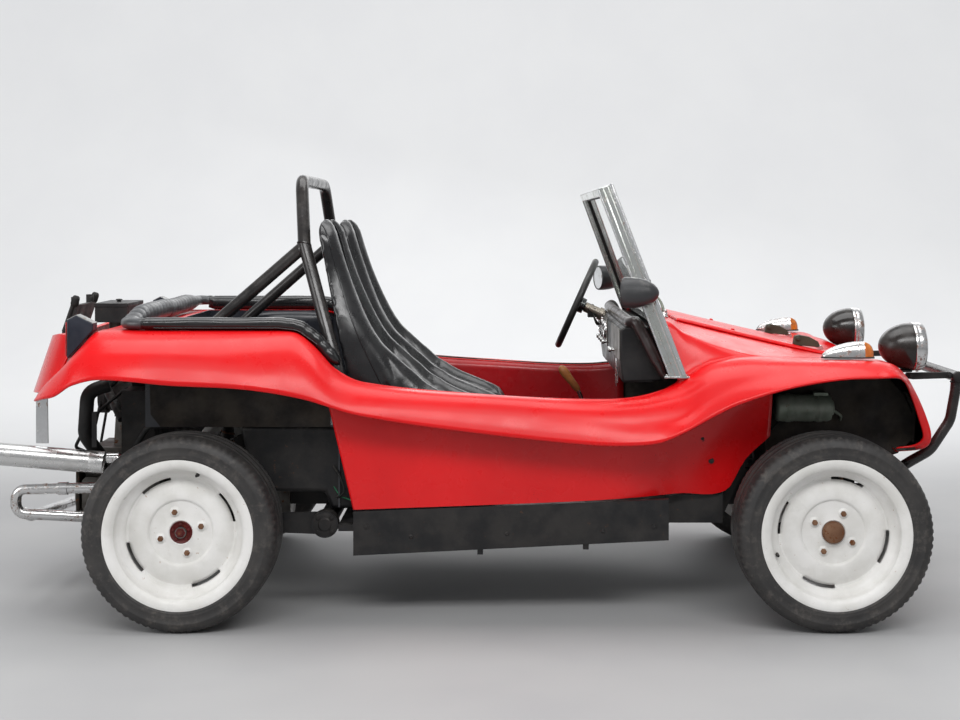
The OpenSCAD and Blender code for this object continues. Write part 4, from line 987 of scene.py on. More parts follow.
path = fillet(pad_path(528), 55, 8)
dense = []
for a, b in zip(path, path[1:]):
    n = max(1, int((b - a).length / 0.006))
    dense += [a + (b - a) * k / n for k in range(n)]
dense.append(path[-1])
total = len(dense) - 1


def pad_radius(t):
    k = t * total
    pleat = 0.7 * abs(math.sin(k * 0.11)) ** 0.35 - 0.6
    end = min(1, t * 26, (1 - t) * 26)
    return (18.5 + pleat) * (0.35 + 0.65 * math.sqrt(max(end, 0.0)))


v, f = tube_mesh(dense, pad_radius, 28)
for k, p in enumerate(v):
    q = noise.noise(p * 22) * 0.0011 + noise.noise(p * 75) * 0.0004
    v[k] = p + Vector((q * 0.6, 0, q))
pad = piece("dash_pad_roll", v, f, DASH_VINYL, angle=70, fix=False)
seam = [p + Vector((-0.0135, 0, -0.0125)) for p in dense[30:-30]]
v, f = tube_mesh(seam, 1.7, 8)
piece("dash_pad_piping", v, f, DASH_VINYL, angle=70, fix=False)

TILT, YAW = math.radians(65.8), math.radians(-4.3)
steer_rot = Matrix.Rotation(YAW, 4, "Z") @ Matrix.Rotation(-TILT, 4, "Y")
steer_at = P(1266, 330, 948)


def steer_point(x, y, z):
    return steer_at + steer_rot @ Vector((x / 1000, y / 1000, z / 1000))


def steer_mesh(v, f):
    return [steer_at + steer_rot @ p for p in v], f


def ring(radius, grip, grooves=0, steps=120, sides=18):
    verts = []
    for i in range(steps):
        w = 2 * math.pi * i / steps
        for k in range(sides):
            u = 2 * math.pi * k / sides
            g = grip - (0.9 if grooves and math.cos(u) < -0.2 and (i * grooves // steps) % 2 else 0)
            r = radius + g * math.cos(u)
            verts.append(Vector((math.cos(w) * r, math.sin(w) * r, g * 0.93 * math.sin(u))) / 1000)
    faces = grid_faces(steps, sides, wrap=True)
    faces += [((steps - 1) * sides + k, (steps - 1) * sides + (k + 1) % sides, (k + 1) % sides,
        k) for k in range(sides)]
    return verts, faces


wheel_rim = piece("steering_rim", *steer_mesh(*ring(167.5, 13.6, 24)), GRIP, body="steering_wheel", angle=50)
parts = []
for a in (30, 150, 270):
    w = math.radians(a)
    c, s = math.cos(w), math.sin(w)
    outline = [(24, 20), (60, 15), (110, 12), (160, 14)]
    up = [Vector((c * r - s * h, s * r + c * h, z)) / 1000 for r, h in outline for h,
        z in ((h, -3.5), (h, 1.5), (-h, 1.5), (-h, -3.5))]
    fc = grid_faces(4, 4, wrap=True) + [(0, 1, 2, 3), (12, 13, 14, 15)]
    parts.append(steer_mesh(up, fc))
piece("steering_spokes", *joined(parts), BLACK_PAINT, body="steering_wheel", bevel=1.5)
hub = turned_mesh([(0, 12), (14, 12), (20, 10), (24, 7), (36, 5), (38, 2), (38, -4), (30, -10),
    (28, -30), (12, -30)], steer_at,
                  steer_rot @ Vector((0, 0, 1)), 40)
piece("steering_boss", *hub, VINYL, body="steering_wheel", angle=40)
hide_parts("steering_wheel")
axis = steer_rot @ Vector((0, 0, 1))
column = [turned_mesh([(10, 2), (10, -28), (14, -30), (18.9, -33), (18.9, -418), (10, -420)], steer_at, axis,
    32),
          turned_mesh([(19, 0), (24, 1), (24, 16), (19, 17)], steer_at - axis * 0.105, axis, 28),
          turned_mesh([(19, 0), (22, 1), (22, 26), (19, 27)], steer_at - axis * 0.215, axis, 28)]
col = piece("column_tube", *joined(column), COLUMN_METAL, angle=40)
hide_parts("steering_column")
parts = [tube_mesh(spline([steer_point(0, 22, -70), steer_point(0, 70, -72), steer_point(6, 126, -60)], 6),
    lambda t: 4.6 - 1.2 * t, 12),
         tube_mesh([steer_point(6, 126, -60), steer_point(7, 140, -58)], 7, 16),
         joined([box_mesh(1306, 1336, 308, 352, 896, 930)])]
piece("column_switch", *joined(parts), BLACK_PAINT, bevel=1.5)
wires = []
for k in range(5):
    o = (k - 2) * 4
    wires.append(tube_mesh(spline(mm([(1322, 300 + o, 912), (1340, 290 + o * 1.5, 880 - 3 * k),
        (1356, 296 - o, 868 + 3 * k), (1366, 300 + o, 862)]), 8), 1.8, 8))
piece("column_wires", *joined(wires), RUBBER, angle=60)

# Levers and pedals.
knob_a = P(1253, 0, 660)
gear = [tube_mesh(fillet(mm([(1310, 0, 420.6), (1310, 0, 460), (1262, 0, 640), (1250, 0, 664)]), 60), 7, 16),
        turned_mesh([(7, 0), (26, 0), (30, 4), (26, 20), (17, 40), (11, 56), (8, 60)], P(1310, 0, 421),
            (-0.1, 0, 1), 28)]
lever = piece("gear_lever", *joined(gear), CHROME_OLD, angle=40)
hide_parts("cockpit_levers")
grip_axis = (P(1189, 0, 744) - knob_a).normalized()
piece("gear_grip", *turned_mesh([(0, -2), (9, -2), (11, 4), (13, 18), (12.5, 34), (14, 52), (16, 70),
    (16, 84), (13, 97), (7, 104), (0, 106)],
                                knob_a, grip_axis, 32), WOOD, angle=50)
brake = [tube_mesh(spline(mm([(1078, 0, 437), (1010, 0, 462), (902, 0, 500)]), 8), 7.5, 16),
         turned_mesh([(0, 0), (11, 0), (12, 8), (11.5, 80), (9, 92), (7.6, 96)], P(902, 0, 500),
             (0.93, 0, -0.34), 24),
         box_mesh(1042, 1128, -18, 18, 421, 440)]
piece("hand_brake", *joined(brake), BLACK_PAINT, bevel=1, angle=40)
pedals = []
for y in (180, 270, 360):
    pedals.append(slab_mesh([(1604, 301), (1614, 301), (1645, 396), (1640, 402), (1634, 396)], y + 18,
        y + 30))
    pedals.append(slab_mesh([(1628, 372), (1638, 368), (1652, 420), (1622, 430)], y, y + 50))
piece("pedals", *joined(pedals), RUBBER, bevel=2)


# ---------------------------------------------------------------- padded pieces
from mathutils.bvhtree import BVHTree
from mathutils.kdtree import KDTree


def smoothstep(a, b, x):
    t = min(max((x - a) / (b - a), 0), 1)
    return t * t * (3 - 2 * t)


def closed_pair(front, back):
    """A closed form between two grids that share their borders in order."""
    n, m = len(front), len(front[0])
    verts = [p for r in front for p in r] + [p for r in back for p in r]
    k = n * m
    faces = grid_faces(n, m) + [tuple(reversed(q)) for q in grid_faces(n, m, base=k)]
    for i in range(n - 1):
        a, b = i * m, (i + 1) * m
        faces += [(a, b, b + k, a + k), (b + m - 1, a + m - 1, a + m - 1 + k, b + m - 1 + k)]
    for j in range(m - 1):
        e = (n - 1) * m
        faces += [(j + 1, j, j + k, j + 1 + k), (e + j, e + j + 1, e + j + 1 + k, e + j + k)]
    return verts, faces


def stuffed(name, verts, faces, mat, voxel, pins, cap=0.010, pressure=4.0, body="chassis"):
    """Remeshes a closed form evenly and inflates it as cloth between its pinned seams."""
    ob = piece(name, verts, faces, mat, body, angle=180)
    r = ob.modifiers.new("even", "REMESH")
    r.mode, r.voxel_size, r.use_smooth_shade = "VOXEL", voxel, True
    graph = bpy.context.evaluated_depsgraph_get()
    even = bpy.data.meshes.new_from_object(ob.evaluated_get(graph))
    ob.modifiers.clear()
    ob.data = even
    even.name = name
    if not even.materials:
        even.materials.append(mat)
    tree = KDTree(len(pins))
    for i, p in enumerate(pins):
        tree.insert(p, i)
    tree.balance()
    rest = [v.co.copy() for v in even.vertices]
    group = ob.vertex_groups.new(name="seams")
    for v in even.vertices:
        d = tree.find(v.co)[2]
        w = 1.0 if d < voxel * 0.9 else max(0.0, 1 - d / (voxel * 2.5)) * 0.6
        if w > 0:
            group.add([v.index], w, "REPLACE")
    c = ob.modifiers.new("cloth", "CLOTH")
    c.settings.quality = 5
    c.settings.use_pressure = True
    c.settings.uniform_pressure_force = pressure
    c.settings.vertex_group_mass = "seams"
    c.settings.effector_weights.gravity = 0
    c.settings.bending_stiffness = 0.4
    c.point_cache.frame_start, c.point_cache.frame_end = 1, 20
    for k in range(1, 21):
        scene.frame_set(k)
    graph = bpy.context.evaluated_depsgraph_get()
    moved = ob.evaluated_get(graph).data
    now = [v.co.copy() for v in moved.vertices]
    ob.modifiers.clear()
    scene.frame_set(1)
    for v, a, b in zip(even.vertices, rest, now):
        d = b - a
        if d.length > cap:
            d = d.normalized() * cap
        v.co = a + d
    even.polygons.foreach_set("use_smooth", [True] * len(even.polygons))
    return ob


def crumple(ob, amount, scale):
    """Fine creases of old covering, pressed into the surface."""
    me = ob.data
    for v in me.vertices:
        p = v.co
        a = noise.noise(p * scale)
        b = noise.noise(p * scale * 2.7 + Vector((3, 1, 7)))
        v.co = p - v.normal * amount * (abs(a) ** 0.7 * 0.7 + abs(b) * 0.3)
    s = ob.modifiers.new("soft", "SUBSURF")
    s.levels = s.render_levels = 1
    return ob


def on_surface(ob, points, lift=0.0):
    me = ob.data
    tree = BVHTree.FromPolygons([v.co for v in me.vertices], [p.vertices for p in me.polygons])
    out = []
    for p in points:
        loc, nor, _, _ = tree.find_nearest(p)
        out.append(loc + nor * lift)
    return out


SEAT_X, SEAT_Y = 480, 300
mid_parts = [[(-80, 1250), (-62, 1250)], [(-62, 1250), (-44, 1180), (-20, 1080)],
    [(-20, 1080), (12, 960), (40, 860)], [(40, 860), (76, 750), (128, 628)],
    [(128, 628), (170, 588), (300, 576)], [(300, 572), (420, 582), (490, 600)], [(490, 600), (515, 580)]]
roll_parts = [[(-80, 1262), (-58, 1266)], [(-58, 1266), (-38, 1247), (-15, 1164), (14, 1076)],
    [(14, 1076), (44, 1002), (75, 934), (118, 865)], [(118, 865), (186, 807), (230, 772)],
    [(230, 772), (268, 739), (320, 710)], [(320, 706), (420, 662), (500, 626)], [(500, 626), (520, 590)]]
back_parts = [[(-94, 1226), (-92, 1218)], [(-92, 1218), (-63, 1080)], [(-63, 1080), (-15, 860)],
    [(-15, 860), (50, 560)], [(50, 560), (80, 430), (300, 425)], [(300, 425), (480, 425)],
    [(480, 425), (500, 424)]]
COUNTS = [5, 13, 13, 13, 14, 12, 6]


def seat_line(parts, blur):
    out = []
    for p, n in zip(parts, COUNTS):
        out += resample([(x, 0, z) for x, z in p], n)[:-1]
    out.append(Vector((parts[-1][-1][0], 0, parts[-1][-1][1])))
    return relax(out, blur)


MID, ROLL, BACK = seat_line(mid_parts, 8), seat_line(roll_parts, 5), seat_line(back_parts, 4)
US = [k / 24 for k in range(-24, 25)]


def seat_half(z):
    w = 222 - 52 * smoothstep(880, 1120, z)
    if z > 1180:
        w *= math.sqrt(max(1 - 0.62 * ((z - 1180) / 84) ** 2, 0.1))
    return w


def seat_point(i, u):
    a = abs(u)
    front = MID[i].lerp(ROLL[i], smoothstep(0.40, 0.70, a))
    t = max(0.0, (a - 0.70) / 0.30)
    e = math.sqrt(max(1 - 0.86 * t * t, 0))
    p = BACK[i] + (front - BACK[i]) * e
    return P(SEAT_X + p.x, -SEAT_Y + u * seat_half(p.z), p.z)


def back_point(i, u):
    p = BACK[i]
    return P(SEAT_X + p.x + 4 * u * u, -SEAT_Y + u * seat_half(p.z), p.z)


front = [[seat_point(i, u) for u in US] for i in range(len(MID))]
back = [[back_point(i, u) for u in US] for i in range(len(MID))]
inner_seams = [[seat_point(i, side * 0.50) for i in range(3, len(MID) - 3)] for side in (-1, 1)]
edge_seams = [[seat_point(i, side * 0.97) for i in range(2, len(MID) - 1)] for side in (-1, 1)]
cross_seam = [seat_point(58, u) for u in US[12:37]]
pins = [p for line in inner_seams + edge_seams for p in resample(line, 300)] + resample(cross_seam, 60)
pins += [p for r in back for p in r]
sv, sf = closed_pair(front, back)
right_seat = stuffed("seat_cover_right", sv, sf, VINYL, 0.010, pins, cap=0.011)
crumple(right_seat, 0.0014, 15)
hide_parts("right_seat")
shift = Vector((0, 2 * SEAT_Y / 1000, 0))
left_mesh = right_seat.data.copy()
for v in left_mesh.vertices:
    v.co += shift
left_seat = bpy.data.objects.new("seat_cover_left", left_mesh)
scene.collection.objects.link(left_seat)
s = left_seat.modifiers.new("soft", "SUBSURF")
s.levels = s.render_levels = 1
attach(left_seat, "chassis")
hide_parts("left_seat")
lines = []
for line in inner_seams + edge_seams:
    path = relax(on_surface(right_seat, resample(line, 130), 0.0008), 3)
    lines.append(tube_mesh(path, 2.6, 8))
path = relax(on_surface(right_seat, resample(cross_seam, 50), 0.0006), 3)
lines.append(tube_mesh(path, 1.6, 8))
v, f = joined(lines)
piece("seat_piping_right", v, f, VINYL, angle=80, fix=False)
piece("seat_piping_left", [p + shift for p in v], f, VINYL, angle=80, fix=False)

# Padded coaming round the rear of the cockpit: two rails with a sloping front end and the cross roll.
path = fillet(mm([(474, -566, 800), (402, -561, 882), (345, -561, 924), (286, -561, 931),
    (-200, -561, 931), (-200, 561, 938), (286, 561, 938), (345, 561, 930), (402, 561, 886),
    (474, 566, 802)]), 58, 12)
dense = []
for a, b in zip(path, path[1:]):
    n = max(1, int((b - a).length / 0.005))
    dense += [a + (b - a) * k / n for k in range(n)]
dense.append(path[-1])
for p in dense:
    if p.x < X0 - 0.14:
        p.z += 0.016 * smoothstep(0.53, 0.33, -p.y) if p.y < 0 else 0.010
fr = frames(dense)
sides = 30
verts, arc = [], 0.0
for i, (p, (t, a, b)) in enumerate(zip(dense, fr)):
    arc += (dense[i] - dense[i - 1]).length if i else 0
    x = (p.x - X0) * 1000
    pleated = max(smoothstep(260, 330, x), smoothstep(-100, -165, x))
    pitch = 0.046 if x < 0 else 0.032
    wave = abs(math.sin(math.pi * arc / pitch + 0.5 * math.sin(arc * 9))) ** 0.45
    end = min(i, len(dense) - 1 - i) * 0.005
    closing = math.sqrt(min(1, end / 0.035 + 0.02))
    for k in range(sides):
        w = 2 * math.pi * k / sides
        flat = Vector((t.y, -t.x, 0)).normalized()
        up = flat.cross(t).normalized()
        if up.z < 0:
            up.negate()
        cw, sw = math.cos(w), math.sin(w)
        q = 1 - pleated * 0.13 * (1 - wave) * smoothstep(-0.6, 0.4, sw)
        lump = 1 + 0.05 * noise.noise(p * 9 + Vector((0, 0, w)))
        r = q * lump * closing
        cx = math.copysign(abs(cw) ** 0.8, cw) * 0.0285
        tall = 0.020 + 0.007 * smoothstep(-0.2, 0.4, p.y)
        if p.x < X0 - 0.14:
            tall = 0.018 + 0.014 * smoothstep(0.54, 0.34, abs(p.y))
        cz = math.copysign(abs(sw) ** 0.85, sw) * tall
        verts.append(p + flat * cx * r + up * cz * r)
faces = grid_faces(len(dense), sides, wrap=True)
faces += [tuple(range(sides)), tuple((len(dense) - 1) * sides + k for k in range(sides))]
coaming = piece("coaming_pad", verts, faces, VINYL, angle=60, fix=False)
coaming.data.materials.append(VINYL_GREY)
for poly in coaming.data.polygons:
    poly.material_index = 1 if poly.center.x < X0 - 0.150 else 0
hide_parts("rear_coaming")
piece("coaming_piping", *joined([tube_mesh([p + Vector((0, math.copysign(0.0275, p.y),
    -0.012)) for p in dense[22:-22] if p.x > X0 - 0.11 and p.y * s > 0], 2.2, 8)
               for s in (-1, 1)]), VINYL, angle=80, fix=False)

# Upholstered panels on the inside of the rear tub, and the bench.
paint_node("rear_tub", VINYL_BLUE, 2)
piece("tub_outer_skin", *both_sides([slab_mesh([(-140, 900), (-132, 640), (-100, 600), (440, 600),
    (440, 760), (400, 850), (290, 900)], -524, -520.5)]), UNDERSIDE, bevel=1)


def upholstered(name, corner, along, up, out, thick, mat, n=26, power=3.4):
    """A rounded pad: crowned face, pinched rim, and a button in the middle."""
    front, back = [], []
    for i in range(n + 1):
        rf, rb = [], []
        for j in range(n + 1):
            s, t = 2 * i / n - 1, 2 * j / n - 1
            m = (abs(s) ** power + abs(t) ** power) ** (1 / power) if (s or t) else 0
            k = max(abs(s), abs(t)) / m if m > 1e-9 else 1
            base = corner + along * (s * k + 1) / 2 + up * (t * k + 1) / 2
            edge = max(abs(s), abs(t))
            h = math.sqrt(max(1 - edge ** 4,
                0)) * (1 - 0.28 * math.exp(-(s * s + t * t) / 0.02)) * (1 + 0.05 * noise.noise(base * 16))
            rf.append(base + out * thick * (0.12 + 0.88 * h))
            rb.append(base)
        front.append(rf)
        back.append(rb)
    ob = piece(name, *closed_pair(front, back), mat, angle=70, subdiv=1)
    return ob


for side, tag in ((-1, "right"), (1, "left")):
    upholstered("tub_pad_" + tag, P(4, side * 512, 792), Vector((0.33, 0, 0)), Vector((0, 0, 0.118)),
        Vector((0, -side, 0)), 0.034, VINYL_BLUE)
v, f = both_sides([turned_mesh([(0, 4), (5, 3.6), (8, 2), (9, 0)], P(169, -482, 851), (0, 1, 0), 16)])
piece("tub_pad_studs", v, f, CHROME_OLD, angle=60)
bx, bz = -142, 607
seat_side = [(bx + 56, bz + 118), (bx + 120, bz + 128),
    (bx + 260, bz + 124), (bx + 360, bz + 112), (bx + 392, bz + 92)]
low_side = [(bx + 58, bz + 4), (bx + 120, bz + 2),
    (bx + 260, bz + 2), (bx + 360, bz + 2), (bx + 394, bz + 10)]
rest_side = [(bx + 6, bz + 282), (bx + 30, bz + 284),
    (bx + 62, bz + 230), (bx + 84, bz + 170), (bx + 90, bz + 122)]
rest_back = [(bx + 2, bz + 270), (bx + 3, bz + 262),
    (bx + 3, bz + 220), (bx + 4, bz + 160), (bx + 6, bz + 116)]


def bench_cushion(name, top, low, seams):
    tops, lows = spline([(x, 0, z) for x, z in top], 7), spline([(x, 0, z) for x, z in low], 7)
    us = [k / 30 for k in range(-30, 31)]
    pins = []
    front, back = [], []
    for i, (a, b) in enumerate(zip(tops, lows)):
        rf, rb = [], []
        for u in us:
            e = math.sqrt(max(1 - 0.7 * max(0, (abs(u) - 0.93) / 0.07) ** 2, 0))
            q = b + (a - b) * e
            rf.append(P(q.x, u * 405, q.z))
            rb.append(P(b.x, u * 405, b.z))
        front.append(rf)
        back.append(rb)
        for s in seams:
            for d in (-2, 2):
                pins.append(P(a.x, s * 405 + d, a.z))
    pins += [p for r in back for p in r]
    ob = stuffed(name, *closed_pair(front, back), VINYL_BLUE, 0.013, pins, cap=0.014)
    crumple(ob, 0.0025, 13)
    lines = []
    for s in seams:
        lines.append(tube_mesh(relax(on_surface(ob, [P(a.x, s * 405, a.z) for a in tops[1:-1]], 0.0005), 2),
            2, 8))
    piece(name + "_seams", *joined(lines), VINYL_BLUE, angle=80, fix=False)
    return ob


bench = bench_cushion("bench_seat", seat_side, low_side, (-0.75, -0.5, -0.25, 0, 0.25, 0.5, 0.75))
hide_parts("rear_bench")
bench_cushion("bench_back", rest_side, rest_back, (-0.5, 0, 0.5))


# ---------------------------------------------------------------- lamps
arc = [(76 * math.sin(math.radians(a)), 106 - 106 * math.cos(math.radians(a))) for a in range(0, 91, 6)]
lamp_x, lamp_z = 2206, 848
bowl = [turned_mesh(arc[:-1] + [(75.4, 100), (75.4, 110)], P(lamp_x, -420, lamp_z), (1, 0, 0), 64),
        turned_mesh([(0, 0), (21, 0), (21, 3), (14, 6), (12, 12), (12, 34), (17, 40), (20, 52)],
            P(2290, -420, 768.4), (0, 0, 1), 28)]
lamps = piece("headlamp_bowls", *both_sides(bowl), BLACK_SATIN, angle=40)
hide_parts("headlamps")
rim_ring = [(74.5, 104), (77.2, 104), (78.4, 107), (78.4, 112), (77.4, 114), (78.2, 118), (78, 128),
    (76, 135), (71.5, 140.5), (67, 142.5), (65.5, 141), (66, 138)]
screws = [turned_mesh([(0, 3), (4.5, 3), (4.5, 0)], P(2331, -420, 848 - 79.2), (0, 0, -1), 12)]
piece("headlamp_rims", *both_sides([turned_mesh(rim_ring, P(lamp_x, -420, lamp_z), (1, 0, 0), 72)] + screws),
    CHROME_OLD, angle=40)
lens = [(66, 138), (60, 141), (48, 144.5), (30, 147), (12, 148), (0, 148.2)]
piece("headlamp_lenses", *both_sides([turned_mesh(lens, P(lamp_x, -420, lamp_z), (1, 0, 0), 64)]), CLEAR_LENS,
    angle=60)
v, f = both_sides([tube_mesh([P(2290, -420, 772), P(2290, -420, 766)], 25, 28),
                   tube_mesh(spline(mm([(2262, -420, 772), (2250, -410, 764), (2240, -404, 756)]), 6), 4,
                       10)])
piece("headlamp_grommets", v, f, RUBBER, bevel=1.5)


def half_pod(sections, z0, y0, n=18, power=0.85):
    """A lofted pod with a flat underside; sections are (x, half width, height)."""
    rows = []
    for x, w, h in sections:
        rows.append([P(x, y0 + w * math.cos(a),
            z0 + h * abs(math.sin(a)) ** power) for a in [math.pi * k / n for k in range(n + 1)]])
    v = [p for r in rows for p in r]
    f = grid_faces(len(rows), n + 1)
    f += [tuple(range(n + 1)), tuple((len(rows) - 1) * (n + 1) + k for k in range(n + 1))]
    f += [(i * (n + 1) + n, i * (n + 1), (i + 1) * (n + 1),
        (i + 1) * (n + 1) + n) for i in range(len(rows) - 1)]
    return v, f


pod = [(-80, 3, 4), (-77, 8, 10), (-68, 13, 18), (-52, 18, 27), (-32, 22, 35), (-8, 25, 42),
    (16, 26, 46), (38, 25.5, 47.5), (50, 25, 47.5)]
ind = piece("indicator_pods", *both_sides([half_pod([(2064 + x, w, h) for x, w, h in pod], 831, -600)]),
    CHROME_OLD, angle=50)
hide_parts("indicators")
nose = [(50, 24, 46), (58, 23.5, 45), (68, 21, 40), (75, 17, 32), (80, 10, 20), (81, 3, 8)]
piece("indicator_lenses", *both_sides([half_pod([(2064 + x, w, h) for x, w, h in nose], 831, -600)]), ORANGE,
    angle=50)
piece("indicator_gaskets", *both_sides([half_pod([(1982, 6, 5), (1990, 16, 6), (2040, 27, 6),
    (2120, 28, 6), (2144, 20, 6), (2147, 8, 5)], 826.5, -600, power=0.3)]), RUBBER, angle=50)

tail = [(-372, 824), (-374, 830), (-374, 946), (-345, 961), (-292, 935), (-292, 914)]
tl = piece("tail_lamp_bodies", *both_sides([slab_mesh(tail, -609, -557)]), TAIL_BLUE, bevel=3.5)
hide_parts("tail_lamps")
# The light grey top plates paint in the highlight along the tail lamp tops.
piece("tail_lamp_tops", *both_sides([slab_mesh([(-374, 947), (-345, 962), (-291, 936), (-291, 933.5),
    (-345, 959), (-374, 944)], -608, -558)]), TAIL_TOP_HIGHLIGHT, bevel=0.8)
piece("tail_lamp_lenses", *both_sides([slab_mesh([(-380, 834), (-374, 832), (-374, 940), (-380, 938)], -604,
    -562)]), RED_LENS, bevel=2)

# Number plate bracket, left blank, with round knobs.
paint_node("plate_bracket", BLACK_WORN, 1)
knob = [(0, 0), (9, 0), (12, 3), (13.4, 9), (13.4, 26), (12, 33), (8, 37), (0, 38)]
piece("plate_knobs", *both_sides([turned_mesh(knob, P(-493, -95, 955), (0.05, 0, 1), 28),
    turned_mesh(knob, P(-489, -124, 962), (0.3, 0, 1), 24)]), RUBBER, angle=40)

# ---------------------------------------------------------------- bumper
loops = [(2465, -400, 748), (2461, -400, 700), (2444, -400, 606), (2379, -400, 508), (2305, -395, 465),
    (2210, -330, 372), (2146, -330, 372)]
bumper = piece("bumper_tubes", *joined([bar([(2465, -428, 748), (2465, 428, 748)], 36),
    both_sides([bar(loops, 34, 90)])]), BLACK_TUBE, angle=50)
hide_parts("front_bumper")
cap = [(0, 4), (14, 4), (18.6, 1), (19, -3), (19, -12), (17, -13)]
piece("bumper_caps", *both_sides([turned_mesh(cap, P(2465, -428, 748), (0, -1, 0), 24)]), RUBBER)
piece("bumper_brackets", *both_sides([slab_mesh([(2285, 745), (2300, 762), (2440, 764), (2462, 752),
    (2440, 744), (2320, 740)], -414, -404),
                   bolt_mesh(P(2438, -414, 753), (0, -1, 0), 7, 6),
                   bolt_mesh(P(2312, -414, 752), (0, -1, 0), 7, 6),
                   turned_mesh([(17, -3), (20, -1), (20, 2), (17, 4)], P(2464, -400, 731), (0, 0, 1), 20)]),
                   BLACK_WORN, bevel=1)

# ---------------------------------------------------------------- engine, gearbox and exhaust
case = [slab_mesh([(-460, 225), (-445, 205), (-160, 205), (-130, 230), (-130, 440), (-170, 475),
    (-430, 475), (-460, 440)], -118, 118),
        turned_mesh([(0, -500), (70, -500), (84, -494), (84, -480), (76, -476), (76, -470), (84, -466),
            (84, -460), (0, -455)], P(0, 0, 300), (1, 0, 0), 40),
        slab_mesh([(-368, 470), (-362, 571), (-288, 571), (-282, 470)], -58, 58)]
sump = [slab_mesh([(-430, 196), (-170, 196), (-165, 206), (-435, 206)], -90, 90)]
fins, covers = [], []
for k in range(17):
    y = 134 + k * 11
    fins.append(box_mesh(-396, -282, -y - 3, -y, 304, 426))
    fins.append(box_mesh(-262, -146, -y - 3, -y, 304, 426))
    fins.append(box_mesh(-396, -146, -y - 6, -y - 4, 330,
        400) if k > 11 else box_mesh(-380, -300, -y - 8, -y - 2, 318, 412))
    fins.append(box_mesh(-246, -162, -y - 8, -y - 2, 318, 412))
for x in (-390, -330, -230, -170):
    covers.append(tube_mesh([P(x, -120, 292), P(x, -335, 292)], 9, 14))
covers.append(slab_mesh([(-398, 312), (-390, 302), (-152, 302), (-144, 312), (-144, 400), (-156, 412),
    (-386, 412), (-398, 400)], -350, -332))
eng = piece("engine_case", *joined([m for m in case + sump] + [both_sides(fins + covers)]), CAST, bevel=1.5,
    angle=35)
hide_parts("engine")
tin = [slab_mesh([(-415, 432), (-415, 446), (-380, 452), (-160, 452), (-128, 444), (-128, 432)], -352, -112),
       slab_mesh([(-400, 270), (-400, 284), (-150, 284), (-150, 270)], -346, -130),
       slab_mesh([(-418, 300), (-406, 300), (-406, 452), (-418, 452)], -352, -110)]
piece("engine_tinware", *both_sides(tin), TINWARE, bevel=3)
paint_node("fan_housing", BLACK_METAL, 7)
ribs = [box_mesh(-263, -258, y - 5, y + 5, 500, 815) for y in (-170, 170, -225, 225)]
ribs += [turned_mesh([(150, 0), (168, 3), (172, 0)], P(-262, 0, 640), (-1, 0, 0), 56),
    turned_mesh([(96, 0), (104, 5), (112, 0)], P(-262, 0, 640), (-1, 0, 0), 48)]
ribs += [bolt_mesh(P(-262, y, z), (-1, 0, 0), 6, 5) for y in (-350, 350, -60, 60) for z in (500, 810)]
piece("fan_housing_ribs", *joined(ribs), BLACK_METAL, bevel=1)
gen = [turned_mesh([(0, -402), (40, -402), (50, -396), (52.8, -388), (52.8, -300), (50, -292),
    (50, -286), (53, -284), (53, -262)], P(0, 0, 640), (1, 0, 0), 48),
       turned_mesh([(0, -428), (14, -428), (14, -424), (40, -424), (60, -421), (60, -418), (48, -412),
           (60, -405), (60, -402), (40, -400)], P(0, 0, 640), (1, 0, 0), 48)]
piece("generator_parts", *joined(gen), BLACK_METAL, angle=35)
belt = []
for k in range(41):
    w = math.pi * k / 40
    belt.append(P(-412, 54 * math.cos(w), 640 + 54 * math.sin(w)))
for k in range(41):
    w = math.pi + math.pi * k / 40
    belt.append(P(-478, 80 * math.cos(w), 300 + 80 * math.sin(w)))
piece("fan_belt", *tube_mesh(spline(belt, 1, True), 5, 8, True), RUBBER, angle=60)
hoses = [bar([(-300, -392, 720), (-360, -420, 700), (-372, -410, 560), (-330, -350, 470), (-300, -340, 440)],
    46, 60, 18),
         bar([(-364, -70, 700), (-364, -180, 690), (-300, -300, 640), (-270, -330, 600)], 30, 50, 16),
         bar([(-230, -300, 455), (-210, -400, 520), (-160, -440, 590), (-60, -440, 600)], 18, 40, 14),
         bar([(-420, -200, 470), (-440, -280, 500), (-400, -330, 560), (-330, -360, 640), (-262, -300, 700)],
             11, 40, 12)]
piece("engine_hoses", *both_sides(hoses), RUBBER, angle=60)
carb = [turned_mesh([(0, 601), (30, 601), (34, 606), (34, 640), (44, 646), (44, 664), (32, 670),
    (30, 700), (34, 704), (34, 900)], P(-364, 0, 0), (0, 0, 1), 36),
        box_mesh(-350, -310, -40, 30, 606, 650), box_mesh(-400, -376, -30, 34, 612, 640)]
piece("carburettor_parts", *joined(carb), CAST, bevel=2, angle=40)
paint_node("air_cleaner", BLACK_WORN, 5)
piece("air_cleaner_lid", *joined([box_mesh(-423, -305, -113, 113, 958, 971),
    box_mesh(-424, -421, -60, -40, 915, 962), box_mesh(-424, -421, 40, 60, 915, 962),
               turned_mesh([(0, 0), (7, 0), (7, 8), (12, 9), (12, 12), (0, 14)], P(-364, 0, 968), (0, 0, 1),
                   16)]), BLACK_PAINT, bevel=2.5)

